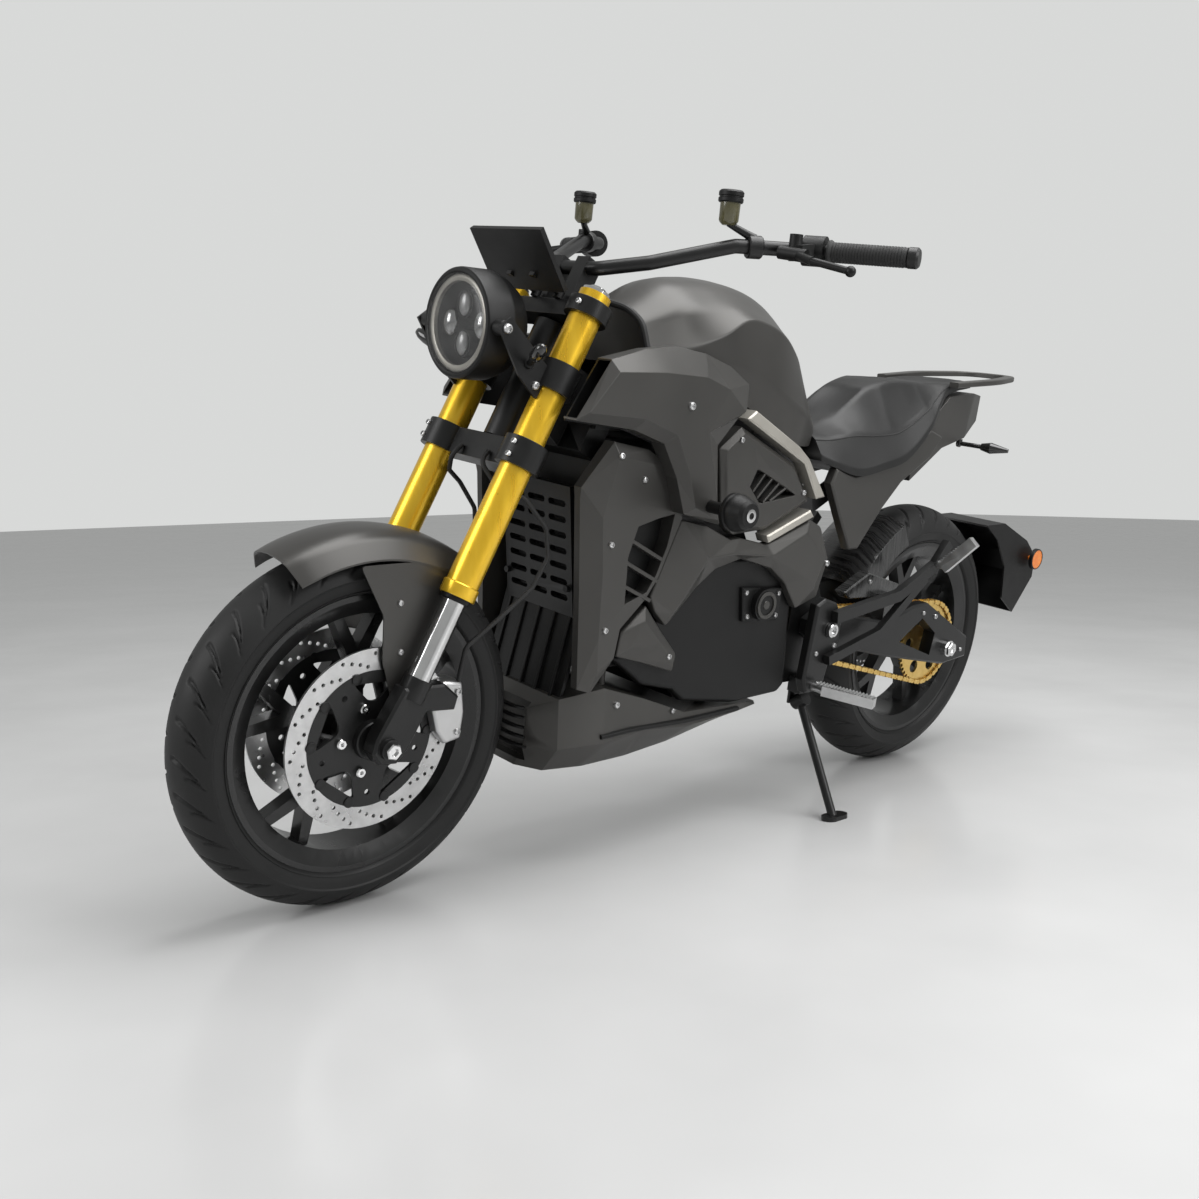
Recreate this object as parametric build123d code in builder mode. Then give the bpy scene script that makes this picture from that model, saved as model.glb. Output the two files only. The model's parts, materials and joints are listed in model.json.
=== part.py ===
"""Electric naked motorcycle, parked on its side stand.

Modelled upright in millimetres: +X is the rider's left, -Y is forward, +Z is up, and the
modelling origin is on the ground, FRONT_REACH behind the front axle. At the end the whole
machine leans onto its stand and its box is centred over the origin.
"""
from build123d import *
import math
import os

os.makedirs("parts", exist_ok=True)

# Driving dimensions, in millimetres and degrees
WHEELBASE, FRONT_REACH = 1500.0, 750.0
LEAN = 8.9
RAKE = 25.7
RUNNING_GAP = 0.3
SEAT_GAP = 0.4

FRONT_RADIUS, FRONT_CROWN, FRONT_BEAD = 300.0, 60.0, 46.0
REAR_RADIUS, REAR_CROWN, REAR_BEAD = 312.0, 78.0, 60.0
RIM_RADIUS, RIM_DROP, RIM_WALL = 231.0, 29.0, 5.0
RIM_BARREL_RADIUS = RIM_RADIUS - RIM_DROP
SPOKE_COUNT, SPOKE_HALF_WIDTH, HUB_RADIUS = 5, 14.0, 40.0
AXLE_RADIUS = 9.0

DISC_OFFSET, DISC_THICKNESS, DISC_RADIUS, DISC_INNER = 65.0, 4.5, 149.0, 112.0
REAR_DISC_RADIUS, REAR_DISC_INNER = 120.0, 84.0
PAD_GAP = 1.5

FORK_SPACING, LEG_BEHIND_AXLE, STEM_BEHIND_LEG = 105.0, 6.7, 28.3
FORK_TUBE_RADIUS, FORK_SLIDER_RADIUS, STEM_RADIUS = 27.0, 19.0, 20.0
# Heights up the fork from the front axle
FOOT_TOP, TUBE_BOTTOM, TUBE_TOP = 112.0, 259.0, 796.0
LOWER_CLAMP, LOWER_CLAMP_HEIGHT = 484.0, 46.0
UPPER_CLAMP, UPPER_CLAMP_HEIGHT = 752.0, 28.0
LAMP_COLLAR, LAMP_COLLAR_HEIGHT = 618.0, 48.0

CHAIN_OFFSET, CHAIN_PITCH, SPROCKET_TEETH, DRIVE_TEETH = 95.0, 12.7, 48, 20
ROLLER_RADIUS, CHAIN_PLATE_HEIGHT, CHAIN_WIDTH, SPROCKET_THICKNESS = 4.2, 12.0, 17.0, 6.0

PIVOT_Y, PIVOT_Z, PIVOT_RADIUS = 262.0, 408.0, 22.0
ARM_INNER, ARM_OUTER = 120.0, 150.0

COVER_INNER = 126.0
PANEL_INNER, PANEL_OUTER = 140.0, 168.0
SCOOP_INNER, SCOOP_OUTER = 152.0, 204.0
SHIELD_INNER, SHIELD_OUTER = 128.0, 165.0

HEADLIGHT_CENTRE, HEADLIGHT_RADIUS, LENS_RADIUS = (-596.0, 950.0), 88.0, 78.0
BAR_RADIUS, GRIP_RADIUS = 12.0, 16.5

SLIDER_PLACE, SLIDER_STUD, SLIDER_TIP = (-176.0, 680.0), 11.0, 300.0

STAND_PIVOT = (142.0, 240.0, 250.0)
STAND_FOOT_X, STAND_FOOT_Y = 281.0, 214.0
STAND_LEG_RADIUS, FOOT_PAD_THICKNESS = 9.0, 6.0

FRONT_AXLE = (0.0, -FRONT_REACH, FRONT_RADIUS)
REAR_AXLE = (0.0, WHEELBASE - FRONT_REACH, REAR_RADIUS)
# What the swingarm carries is placed along the machine from the rear axle
REAR_Y = REAR_AXLE[1]
FORK = Plane(
    origin=FRONT_AXLE,
    x_dir=(1, 0, 0),
    z_dir=(0, math.sin(math.radians(RAKE)), math.cos(math.radians(RAKE))),
)
STEM_BEHIND = LEG_BEHIND_AXLE + STEM_BEHIND_LEG
LEAN_SIN, LEAN_COS = math.sin(math.radians(LEAN)), math.cos(math.radians(LEAN))
# The rounded tyre sinks by this much when it leans, so the machine is lifted by it
LIFT = REAR_CROWN * (1 - LEAN_COS)

pieces = {}


def keep(builder, label):
    """Stores one finished piece under its plain name."""
    pieces[label] = builder.part


def side_plane(x=0.0):
    """Side view at a distance to the left: sketch x is Y, sketch y is Z, and the normal is +X."""
    return Plane(origin=(x, 0, 0), x_dir=(0, 1, 0), z_dir=(1, 0, 0))


def front_plane(y):
    """Cross section at a station along the machine: sketch x is X, sketch y is Z."""
    return Plane(origin=(0, y, 0), x_dir=(1, 0, 0), z_dir=(0, -1, 0))


def axle_plane(axle, x=0.0):
    """Side view centred on an axle, at a distance to the left."""
    return Plane(origin=(x, axle[1], axle[2]), x_dir=(0, 1, 0), z_dir=(1, 0, 0))


def outline(plane, *points):
    """A flat face on a plane, bounded by straight runs between the points."""
    with BuildSketch(plane) as sketch:
        with BuildLine():
            Polyline(*points, close=True)
        make_face()
    return sketch.sketch


def slab(inner, outer, *points, bevel=0.0):
    """A side-view outline as a plate on the left, its outer edge bevelled."""
    with BuildPart(mode=Mode.PRIVATE) as plate:
        extrude(outline(side_plane(inner), *points), amount=outer - inner)
        if bevel:
            chamfer(plate.faces().sort_by(Axis.X)[-1].edges(), bevel)
    return plate.part


def pair(shape, mode=Mode.ADD):
    """Adds a shape on the left and its mirror image on the right."""
    add(shape, mode=mode)
    add(shape.mirror(Plane.YZ), mode=mode)


def rod(start, end, radius):
    """A round bar between two points."""
    run = Vector(*end) - Vector(*start)
    with BuildPart(mode=Mode.PRIVATE) as bar:
        with BuildSketch(Plane(origin=start, z_dir=run)) as section:
            Circle(radius)
        extrude(section.sketch, amount=run.length)
    return bar.part


def bosses(inner, outer, radius, *places):
    """Round mounting bosses on both sides, between two distances from the middle."""
    for place in places:
        pair(rod((inner, *place), (outer, *place), radius))


def beam(start, end, width, height):
    """A square-cut bar between two points: its width is level and its height square to that."""
    run = Vector(*end) - Vector(*start)
    across = Vector(0, 0, 1).cross(run)
    with BuildPart(mode=Mode.PRIVATE) as bar:
        with BuildSketch(Plane(origin=start, x_dir=across, z_dir=run)) as section:
            Rectangle(width, height)
        extrude(section.sketch, amount=run.length)
    return bar.part


def ring(plane, outer, inner, thickness):
    """A flat ring or disc standing on a plane."""
    with BuildPart(mode=Mode.PRIVATE) as washer:
        with BuildSketch(plane) as section:
            Circle(outer)
            if inner:
                Circle(inner, mode=Mode.SUBTRACT)
        extrude(section.sketch, amount=thickness)
    return washer.part


def fork_point(x, behind, height):
    """A place given by its distance behind the axle line and its height up the fork."""
    return tuple(FORK.from_local_coords(Vector(x, behind, height)))


# Tyres: a round crown between two straight sidewalls
def tyre(axle, radius, crown, bead):
    reach = math.radians(70)
    shoulder_x = crown * math.sin(reach)
    shoulder_r = radius - crown + crown * math.cos(reach)
    with BuildPart() as body:
        with BuildSketch(Plane(origin=axle, x_dir=(1, 0, 0), z_dir=(0, -1, 0))):
            with BuildLine():
                ThreePointArc((-shoulder_x, shoulder_r), (0, radius), (shoulder_x, shoulder_r))
                Polyline(
                    (shoulder_x, shoulder_r),
                    (bead, RIM_RADIUS + RUNNING_GAP),
                    (-bead, RIM_RADIUS + RUNNING_GAP),
                    (-shoulder_x, shoulder_r),
                )
            make_face()
        revolve(axis=Axis(axle, (1, 0, 0)))
    return body


keep(tyre(FRONT_AXLE, FRONT_RADIUS, FRONT_CROWN, FRONT_BEAD), "front_tyre")
keep(tyre(REAR_AXLE, REAR_RADIUS, REAR_CROWN, REAR_BEAD), "rear_tyre")


# Cast wheels: a dropped barrel, five forked spokes and a bored hub
def cast_wheel(axle, bead, hub_half):
    barrel = RIM_BARREL_RADIUS
    with BuildPart() as body:
        with BuildSketch(Plane(origin=axle, x_dir=(1, 0, 0), z_dir=(0, -1, 0))):
            with BuildLine():
                Polyline(
                    (-bead, RIM_RADIUS),
                    (bead, RIM_RADIUS),
                    (bead, RIM_RADIUS - 9),
                    (bead - 12, barrel - RIM_WALL),
                    (-bead + 12, barrel - RIM_WALL),
                    (-bead, RIM_RADIUS - 9),
                    close=True,
                )
            make_face()
        revolve(axis=Axis(axle, (1, 0, 0)))
        with BuildSketch(axle_plane(axle)):
            with PolarLocations(0, SPOKE_COUNT, start_angle=18):
                Polygon(
                    (HUB_RADIUS - 8, -17),
                    (110, -12),
                    (barrel, -54),
                    (barrel, -36),
                    (136, 0),
                    (barrel, 36),
                    (barrel, 54),
                    (110, 12),
                    (HUB_RADIUS - 8, 17),
                    align=None,
                )
        extrude(amount=SPOKE_HALF_WIDTH, both=True)
        with BuildSketch(axle_plane(axle)):
            Circle(HUB_RADIUS)
        extrude(amount=hub_half, both=True)
        with BuildSketch(axle_plane(axle)):
            Circle(AXLE_RADIUS + RUNNING_GAP)
        extrude(amount=hub_half, both=True, mode=Mode.SUBTRACT)
    return body


FRONT_HUB_HALF = DISC_OFFSET - DISC_THICKNESS / 2
REAR_HUB_HALF = CHAIN_OFFSET - SPROCKET_THICKNESS / 2
REAR_DISC_OFFSET = REAR_HUB_HALF + DISC_THICKNESS / 2
keep(cast_wheel(FRONT_AXLE, FRONT_BEAD, FRONT_HUB_HALF), "front_rim")
keep(cast_wheel(REAR_AXLE, REAR_BEAD, REAR_HUB_HALF), "rear_rim")


# Brake discs: a friction ring round a windowed carrier
def brake_disc(axle, offset, radius, inner, windows):
    plane = axle_plane(axle, offset - DISC_THICKNESS / 2)
    with BuildPart(mode=Mode.PRIVATE) as disc:
        with BuildSketch(plane) as section:
            Circle(radius)
            Circle(AXLE_RADIUS + RUNNING_GAP, mode=Mode.SUBTRACT)
            with PolarLocations((inner + HUB_RADIUS) / 2, windows):
                Circle((inner - HUB_RADIUS) * 0.3, mode=Mode.SUBTRACT)
        extrude(section.sketch, amount=DISC_THICKNESS)
    return disc.part


with BuildPart() as front_discs:
    pair(brake_disc(FRONT_AXLE, DISC_OFFSET, DISC_RADIUS, DISC_INNER, 8))
keep(front_discs, "front_discs")

with BuildPart() as rear_disc:
    add(brake_disc(REAR_AXLE, -REAR_DISC_OFFSET, REAR_DISC_RADIUS, REAR_DISC_INNER, 6))
keep(rear_disc, "rear_disc")

# Final drive: toothed sprockets and the chain loop round both
REAR_PITCH_RADIUS = CHAIN_PITCH / (2 * math.sin(math.pi / SPROCKET_TEETH))
DRIVE_PITCH_RADIUS = CHAIN_PITCH / (2 * math.sin(math.pi / DRIVE_TEETH))
DRIVE_CENTRE = (0.0, PIVOT_Y - 60.0, PIVOT_Z - 14.0)
TOOTH_TIP = 3.0


def sprocket(centre, teeth, pitch_radius, bore):
    """A toothed plate: each tooth gap is a round seat for one of the chain's rollers."""
    plane = axle_plane(centre, CHAIN_OFFSET - SPROCKET_THICKNESS / 2)
    with BuildPart(mode=Mode.PRIVATE) as wheel:
        with BuildSketch(plane) as section:
            Circle(pitch_radius + TOOTH_TIP)
            Circle(bore, mode=Mode.SUBTRACT)
            with PolarLocations(pitch_radius, teeth):
                Circle(ROLLER_RADIUS + RUNNING_GAP, mode=Mode.SUBTRACT)
        extrude(section.sketch, amount=SPROCKET_THICKNESS)
    return wheel.part


with BuildPart() as rear_sprocket:
    add(sprocket(REAR_AXLE, SPROCKET_TEETH, REAR_PITCH_RADIUS, AXLE_RADIUS + RUNNING_GAP))
    with BuildSketch(axle_plane(REAR_AXLE, CHAIN_OFFSET - SPROCKET_THICKNESS / 2)) as lightening:
        with PolarLocations(REAR_PITCH_RADIUS * 0.68, 6):
            Circle(15)
    extrude(lightening.sketch, amount=SPROCKET_THICKNESS, mode=Mode.SUBTRACT)
keep(rear_sprocket, "rear_sprocket")


def belt_face(plane, grow):
    """A filled outline round both sprockets, this far outside their pitch circles."""
    small = Vector(DRIVE_CENTRE[1], DRIVE_CENTRE[2])
    large = Vector(REAR_AXLE[1], REAR_AXLE[2])
    small_radius, large_radius = DRIVE_PITCH_RADIUS + grow, REAR_PITCH_RADIUS + grow
    run = large - small
    slope = math.atan2(run.Y, run.X)
    flare = math.asin((large_radius - small_radius) / run.length)
    ends = []
    for side in (1, -1):
        angle = slope + side * (math.pi / 2 + flare)
        spoke = Vector(math.cos(angle), math.sin(angle))
        ends.append((small + spoke * small_radius, large + spoke * large_radius))
    forward = Vector(math.cos(slope), math.sin(slope))
    with BuildSketch(plane) as sketch:
        with BuildLine():
            Line(ends[0][0], ends[0][1])
            ThreePointArc(ends[0][1], large + forward * large_radius, ends[1][1])
            Line(ends[1][1], ends[1][0])
            ThreePointArc(ends[1][0], small - forward * small_radius, ends[0][0])
        make_face()
    return sketch.sketch


def chain_strand(x, thickness, grow_out, grow_in):
    """One loop of chain material between two distances from the pitch line."""
    plane = side_plane(x)
    with BuildPart(mode=Mode.PRIVATE) as strand:
        extrude(belt_face(plane, grow_out), amount=thickness)
        extrude(belt_face(plane, grow_in), amount=thickness, mode=Mode.SUBTRACT)
    return strand.part


LINK_PLATE = 3.5
with BuildPart() as chain:
    half_plate = CHAIN_PLATE_HEIGHT / 2
    add(chain_strand(CHAIN_OFFSET - CHAIN_WIDTH / 2, LINK_PLATE, half_plate, -half_plate))
    add(chain_strand(CHAIN_OFFSET + CHAIN_WIDTH / 2 - LINK_PLATE, LINK_PLATE, half_plate, -half_plate))
    roller_inner, roller_outer = TOOTH_TIP + 2 * RUNNING_GAP, half_plate
    add(chain_strand(CHAIN_OFFSET - CHAIN_WIDTH / 2, CHAIN_WIDTH, roller_outer, roller_inner))
keep(chain, "chain")

# Swingarm: two tapering arms, a cross brace ahead of the tyre, the pivot tube and the rear axle
ARM_OUTLINE = (
    (PIVOT_Y - 30, PIVOT_Z + 14),
    (PIVOT_Y + 10, PIVOT_Z + 34),
    (REAR_Y - 250, 396),
    (REAR_Y - 150, 424),
    (REAR_Y - 94, 426),
    (REAR_Y + 50, 352),
    (REAR_Y + 95, 330),
    (REAR_Y + 101, 279),
    (REAR_Y + 4, 270),
    (REAR_Y - 227, 313),
    (PIVOT_Y, PIVOT_Z - 36),
    (PIVOT_Y - 30, PIVOT_Z - 16),
)
SHOCK_EYE = 13.0
with BuildPart() as swingarm:
    arm = slab(ARM_INNER, ARM_OUTER, *ARM_OUTLINE, bevel=5)
    window = outline(
        side_plane(ARM_INNER),
        (REAR_Y - 190, 345),
        (REAR_Y - 110, 392),
        (REAR_Y - 50, 352),
        (REAR_Y - 60, 300),
    )
    pair(arm)
    pair(extrude(window, amount=ARM_OUTER - ARM_INNER, mode=Mode.PRIVATE), mode=Mode.SUBTRACT)
    add(beam((-ARM_INNER - 2, 368, 366), (ARM_INNER + 2, 368, 366), 42, 44))
    pair(slab(SHOCK_EYE + RUNNING_GAP, SHOCK_EYE + 8, (336, 380), (376, 380), (366, 414), (338, 414)))
    with BuildSketch(side_plane(-ARM_OUTER)) as axle_bores:
        with Locations((PIVOT_Y, PIVOT_Z)):
            Circle(PIVOT_RADIUS + RUNNING_GAP)
        with Locations(REAR_AXLE[1:]):
            Circle(AXLE_RADIUS + RUNNING_GAP)
    extrude(axle_bores.sketch, amount=2 * ARM_OUTER, mode=Mode.SUBTRACT)
keep(swingarm, "swingarm")

# Frame: head tube, twin spars, rear stays and pivot plates, left open at the bottom
HEAD_TUBE_RADIUS = 31.0
SPAR_OUTLINE = (
    (-384, 800),
    (-341, 896),
    (-268, 903),
    (-190, 893.6),
    (-60, 861.6),
    (60, 799.6),
    (160, 775.6),
    (204, 734),
    (248, 560),
    (308, 430),
    (300, 352),
    (262, 286),
    (190, 286),
    (204, 470),
    (150, 540),
    (40, 640),
    (-160, 790),
)
SPAR_INNER, SPAR_OUTER = 106.0, 118.0
# The neck reaches back between the swinging fork legs to a cross member behind their sweep
NECK_HALF_WIDTH, NECK_REACH, NECK_LOW, NECK_HIGH = 52.0, 112.0, 566.0, 700.0
with BuildPart() as main_frame:
    spar = slab(SPAR_INNER, SPAR_OUTER, *SPAR_OUTLINE)
    pair(spar)
    head = ring(
        FORK.offset(LOWER_CLAMP + LOWER_CLAMP_HEIGHT + 3),
        HEAD_TUBE_RADIUS,
        0,
        UPPER_CLAMP - LOWER_CLAMP - LOWER_CLAMP_HEIGHT - 6,
    )
    add(head.moved(Location(FORK.y_dir * STEM_BEHIND)))
    neck = [fork_point(0, *corner)[1:] for corner in (
        (STEM_BEHIND + 8, NECK_LOW + 20),
        (STEM_BEHIND + 8, NECK_HIGH),
        (NECK_REACH, NECK_HIGH),
        (NECK_REACH, NECK_LOW),
    )]
    add(slab(-NECK_HALF_WIDTH, NECK_HALF_WIDTH, *neck))
    cross_member = [fork_point(0, *corner)[1:] for corner in (
        (NECK_REACH - 2, NECK_LOW),
        (NECK_REACH - 2, NECK_HIGH - 4),
        (NECK_REACH + 40, NECK_HIGH - 4),
        (NECK_REACH + 40, NECK_LOW),
    )]
    add(slab(-SPAR_INNER - 2, SPAR_INNER + 2, *cross_member))
    pair(rod((SPAR_INNER, PIVOT_Y, PIVOT_Z), (ARM_OUTER + 2, PIVOT_Y, PIVOT_Z), PIVOT_RADIUS))
    add(beam((-SPAR_INNER - 2, 268, 470), (SPAR_INNER + 2, 268, 470), 36, 30))
    bore = ring(
        FORK.offset(LOWER_CLAMP + LOWER_CLAMP_HEIGHT - 20),
        STEM_RADIUS + RUNNING_GAP,
        0,
        UPPER_CLAMP - LOWER_CLAMP,
    )
    add(bore.moved(Location(FORK.y_dir * STEM_BEHIND)), mode=Mode.SUBTRACT)
keep(main_frame, "main_frame")

# Battery: one sealed case hung between the spars
CASE_FRONT = -344.0
with BuildPart() as battery_case:
    add(
        slab(
            -SPAR_INNER + SEAT_GAP,
            SPAR_INNER - SEAT_GAP,
            (CASE_FRONT, 786),
            (CASE_FRONT, 372),
            (-130, 372),
            (-112, 292),
            (96, 292),
            (128, 470),
            (40, 610),
            (-60, 780),
        )
    )
keep(battery_case, "battery_case")

MOTOR_FACE = 80.0
# Motor: one block on the pivot plates, its output sprocket inside the chain
with BuildPart() as motor:
    add(ring(axle_plane(DRIVE_CENTRE, -SPAR_INNER + RUNNING_GAP), 58, 0, SPAR_INNER + MOTOR_FACE))
    add(ring(axle_plane(DRIVE_CENTRE, MOTOR_FACE), 14, 0, CHAIN_OFFSET - MOTOR_FACE))
    add(sprocket(DRIVE_CENTRE, DRIVE_TEETH, DRIVE_PITCH_RADIUS, 8))
keep(motor, "motor")

# Pivot brackets: the stepped castings outside the swingarm pivots
BRACKET_INNER, BRACKET_OUTER = ARM_OUTER + 2.0, ARM_OUTER + 24.0
with BuildPart() as pivot_brackets:
    bracket = slab(
        BRACKET_INNER,
        BRACKET_OUTER,
        (215, 462),
        (242, 474),
        (280, 462),
        (304, 428),
        (302, 380),
        (282, 350),
        (266, 277),
        (212, 277),
        (200, 306),
        (208, 389),
        bevel=5,
    )
    pair(bracket)
    pair(rod((BRACKET_INNER, PIVOT_Y, PIVOT_Z), (BRACKET_OUTER + 6, PIVOT_Y, PIVOT_Z), PIVOT_RADIUS - 6))
keep(pivot_brackets, "pivot_brackets")


def lofted(stations):
    """A body through cross sections: each station is a distance back, then half-widths with heights."""
    sections = []
    for y, *profile in stations:
        right = [(-width, height) for width, height in reversed(profile)]
        sections.append(outline(front_plane(y), *profile, *right))
    with BuildPart(mode=Mode.PRIVATE) as body:
        loft(sections, ruled=True)
    return body.part


# Tank cover: crown, shoulder, waist and hem at each distance back
TANK_STATIONS = (
    (-268, (44, 1004), (84, 980), (106, 934), (100, 906)),
    (-190, (52, 1046), (108, 1010), (132, 940), (122, 894)),
    (-60, (52, 1058), (120, 1016), (146, 920), (136, 862)),
    (60, (46, 1042), (114, 990), (142, 880), (132, 800)),
    (160, (36, 984), (92, 930), (124, 840), (116, 776)),
    (236, (22, 884), (62, 850), (86, 808), (80, 772)),
)
with BuildPart() as tank_cover:
    add(lofted(TANK_STATIONS))
keep(tank_cover, "tank_cover")

# Hidden bosses hold each panel off the spars or the battery case
BOSS_RADIUS = 8.0
CASE_SIDE = SPAR_INNER - SEAT_GAP + RUNNING_GAP

# Air scoops: the winged side panels with an open intake mouth at the front
with BuildPart() as air_scoops:
    scoop = slab(
        SCOOP_INNER,
        SCOOP_OUTER,
        (-424, 918),
        (-340, 938),
        (-259, 945),
        (-184, 937),
        (-117, 918),
        (-72, 890),
        (-104, 832),
        (-156, 783),
        (-142, 690),
        (-128, 643),
        (-229, 667),
        (-249, 727),
        (-287, 786),
        (-360, 810),
        (-484, 822),
        bevel=11,
    )
    pair(scoop)
    mouth = slab(
        SCOOP_INNER + 6,
        SCOOP_OUTER - 8,
        (-520, 834),
        (-520, 918),
        (-400, 910),
        (-330, 900),
        (-330, 846),
        (-400, 832),
    )
    pair(mouth, mode=Mode.SUBTRACT)
    bosses(SPAR_OUTER + RUNNING_GAP, SCOOP_INNER + 2, BOSS_RADIUS, (-200, 846), (-300, 852))
    slider_hole = rod((SCOOP_INNER - 1, *SLIDER_PLACE), (SCOOP_OUTER + 1, *SLIDER_PLACE), SLIDER_STUD + RUNNING_GAP)
    pair(slider_hole, mode=Mode.SUBTRACT)
keep(air_scoops, "air_scoops")

# Side shields: tall front plates with a louvred window
LOUVRE_WINDOW = ((-216, 656), (-299, 646), (-317, 583), (-313, 504), (-264, 526), (-243, 579))
LOUVRE_BARS = (((-330, 640), (-236, 596)), ((-330, 596), (-242, 556)), ((-330, 553), (-256, 520)))
with BuildPart() as side_shields:
    shield = slab(
        SHIELD_INNER,
        SHIELD_OUTER,
        (-424, 716),
        (-372, 786),
        (-292, 772),
        (-256, 722),
        (-236, 664),
        (-200, 656),
        (-262, 510),
        (-318, 461),
        (-322, 412),
        (-366, 350),
        (-388, 510),
        (-400, 649),
        bevel=8,
    )
    pair(shield)
    bosses(CASE_SIDE, SHIELD_INNER + 2, BOSS_RADIUS, (-310, 720), (-333, 432))
    hole = outline(side_plane(SHIELD_INNER), *LOUVRE_WINDOW)
    pair(extrude(hole, amount=SHIELD_OUTER - SHIELD_INNER, mode=Mode.PRIVATE), mode=Mode.SUBTRACT)
    for low, high in LOUVRE_BARS:
        bar = beam((SHIELD_OUTER - 14, *low), (SHIELD_OUTER - 14, *high), 12, 6)
        pair(bar)
keep(side_shields, "side_shields")

# Vent panels: the five-sided panels with a slotted triangle
VENT_SLOTS = (((-14, 732), (-22, 704)), ((14, 724), (2, 692)), ((42, 714), (32, 682)), ((70, 702), (64, 686)))
with BuildPart() as vent_panels:
    vent = slab(
        PANEL_INNER,
        PANEL_OUTER,
        (-120, 774),
        (-66, 817),
        (98, 747),
        (158, 675),
        (34, 622),
        (-57, 614),
        (-90, 640),
        bevel=4,
    )
    pair(vent)
    bosses(SPAR_OUTER + RUNNING_GAP, PANEL_INNER + 2, BOSS_RADIUS, (-40, 752), (108, 652))
    for high, low in VENT_SLOTS:
        slot = beam((PANEL_INNER - 1, *high), (PANEL_INNER - 1, *low), 4 * PANEL_OUTER, 14)
        add(slot, mode=Mode.SUBTRACT)
keep(vent_panels, "vent_panels")

# Frame rails: the two pale strips that show between the panels on each side
with BuildPart() as frame_rails:
    upper = slab(
        PANEL_INNER,
        PANEL_OUTER + 4,
        (-64, 830),
        (-42, 845),
        (94, 781),
        (129, 757),
        (192, 683),
        (166, 679),
        (116, 748),
        (83, 763),
        bevel=3,
    )
    lower = slab(PANEL_INNER, PANEL_OUTER + 4, (31, 612), (39, 598), (166, 644), (153, 658), bevel=3)
    pair(upper)
    pair(lower)
    bosses(SPAR_OUTER + RUNNING_GAP, PANEL_INNER + 2, BOSS_RADIUS / 2, (20, 802), (150, 718), (90, 628))
keep(frame_rails, "frame_rails")

# Cross covers: the branching panels that run down to the battery and the pivot
with BuildPart() as cross_covers:
    cross = slab(
        PANEL_INNER,
        PANEL_OUTER + 2,
        (-196, 649),
        (-166, 642),
        (-126, 634),
        (-60, 606),
        (-33, 608),
        (44, 592),
        (170, 636),
        (204, 622),
        (243, 554),
        (221, 477),
        (162, 457),
        (119, 511),
        (68, 544),
        (-24, 569),
        (-90, 554),
        (-138, 520),
        (-205, 455),
        (-236, 484),
        (-250, 512),
        bevel=6,
    )
    pair(cross)
    bosses(SPAR_OUTER + RUNNING_GAP, PANEL_INNER + 2, BOSS_RADIUS, (196, 588))
    toe = slab(
        PANEL_INNER,
        PANEL_OUTER - 4,
        (-312, 450),
        (-256, 498),
        (-214, 446),
        (-168, 400),
        (-170, 364),
        (-260, 394),
        (-316, 408),
        bevel=6,
    )
    pair(toe)
keep(cross_covers, "cross_covers")

# Battery covers: the large flat plates behind the cross covers
with BuildPart() as battery_covers:
    cover = slab(
        COVER_INNER - 7,
        PANEL_INNER - SEAT_GAP,
        (-60, 566),
        (60, 566),
        (126, 538),
        (170, 474),
        (184, 292),
        (165, 276),
        (28, 272),
        (-117, 295),
        (-148, 321),
        (-228, 341),
        (-306, 398),
        (-236, 452),
        bevel=6,
    )
    pair(cover)
keep(battery_covers, "battery_covers")

# Charge port: a bolted flange with a round cap, on the left only
PORT_Y, PORT_Z = 67.0, 472.0
with BuildPart() as charge_port:
    flange = slab(
        PANEL_INNER - SEAT_GAP,
        PANEL_INNER + 8,
        (7, 508),
        (126, 500),
        (124, 434),
        (18, 440),
        bevel=2,
    )
    add(flange)
    add(ring(Plane(origin=(PANEL_INNER + 7, PORT_Y, PORT_Z), z_dir=(1, 0, 0)), 32, 0, 14))
keep(charge_port, "charge_port")

# Grille: a slotted plate ahead of the battery
GRILLE_TOP, GRILLE_FOOT, GRILLE_HALF_WIDTH, GRILLE_THICKNESS = (-398.0, 700.0), (-364.0, 470.0), 92.0, 6.0
SLOT_SIZE, SLOT_ROWS, SLOT_COLUMNS = (46.0, 11.0), 7, 3
with BuildPart() as grille_plate:
    rise = Vector(0, GRILLE_TOP[0] - GRILLE_FOOT[0], GRILLE_TOP[1] - GRILLE_FOOT[1])
    middle = (0, (GRILLE_TOP[0] + GRILLE_FOOT[0]) / 2, (GRILLE_TOP[1] + GRILLE_FOOT[1]) / 2)
    with BuildSketch(Plane(origin=middle, x_dir=(1, 0, 0), z_dir=Vector(1, 0, 0).cross(rise))) as grille:
        Rectangle(2 * GRILLE_HALF_WIDTH, rise.length)
        with GridLocations(SLOT_SIZE[0] + 10, SLOT_SIZE[1] + 17, SLOT_COLUMNS, SLOT_ROWS):
            SlotOverall(*SLOT_SIZE, mode=Mode.SUBTRACT)
    extrude(grille.sketch, amount=GRILLE_THICKNESS, both=True)
    for height in (520, 655):
        pair(rod((GRILLE_HALF_WIDTH - 9, -386, height), (GRILLE_HALF_WIDTH - 9, CASE_FRONT - RUNNING_GAP, height), 6))
keep(grille_plate, "grille_plate")

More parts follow.
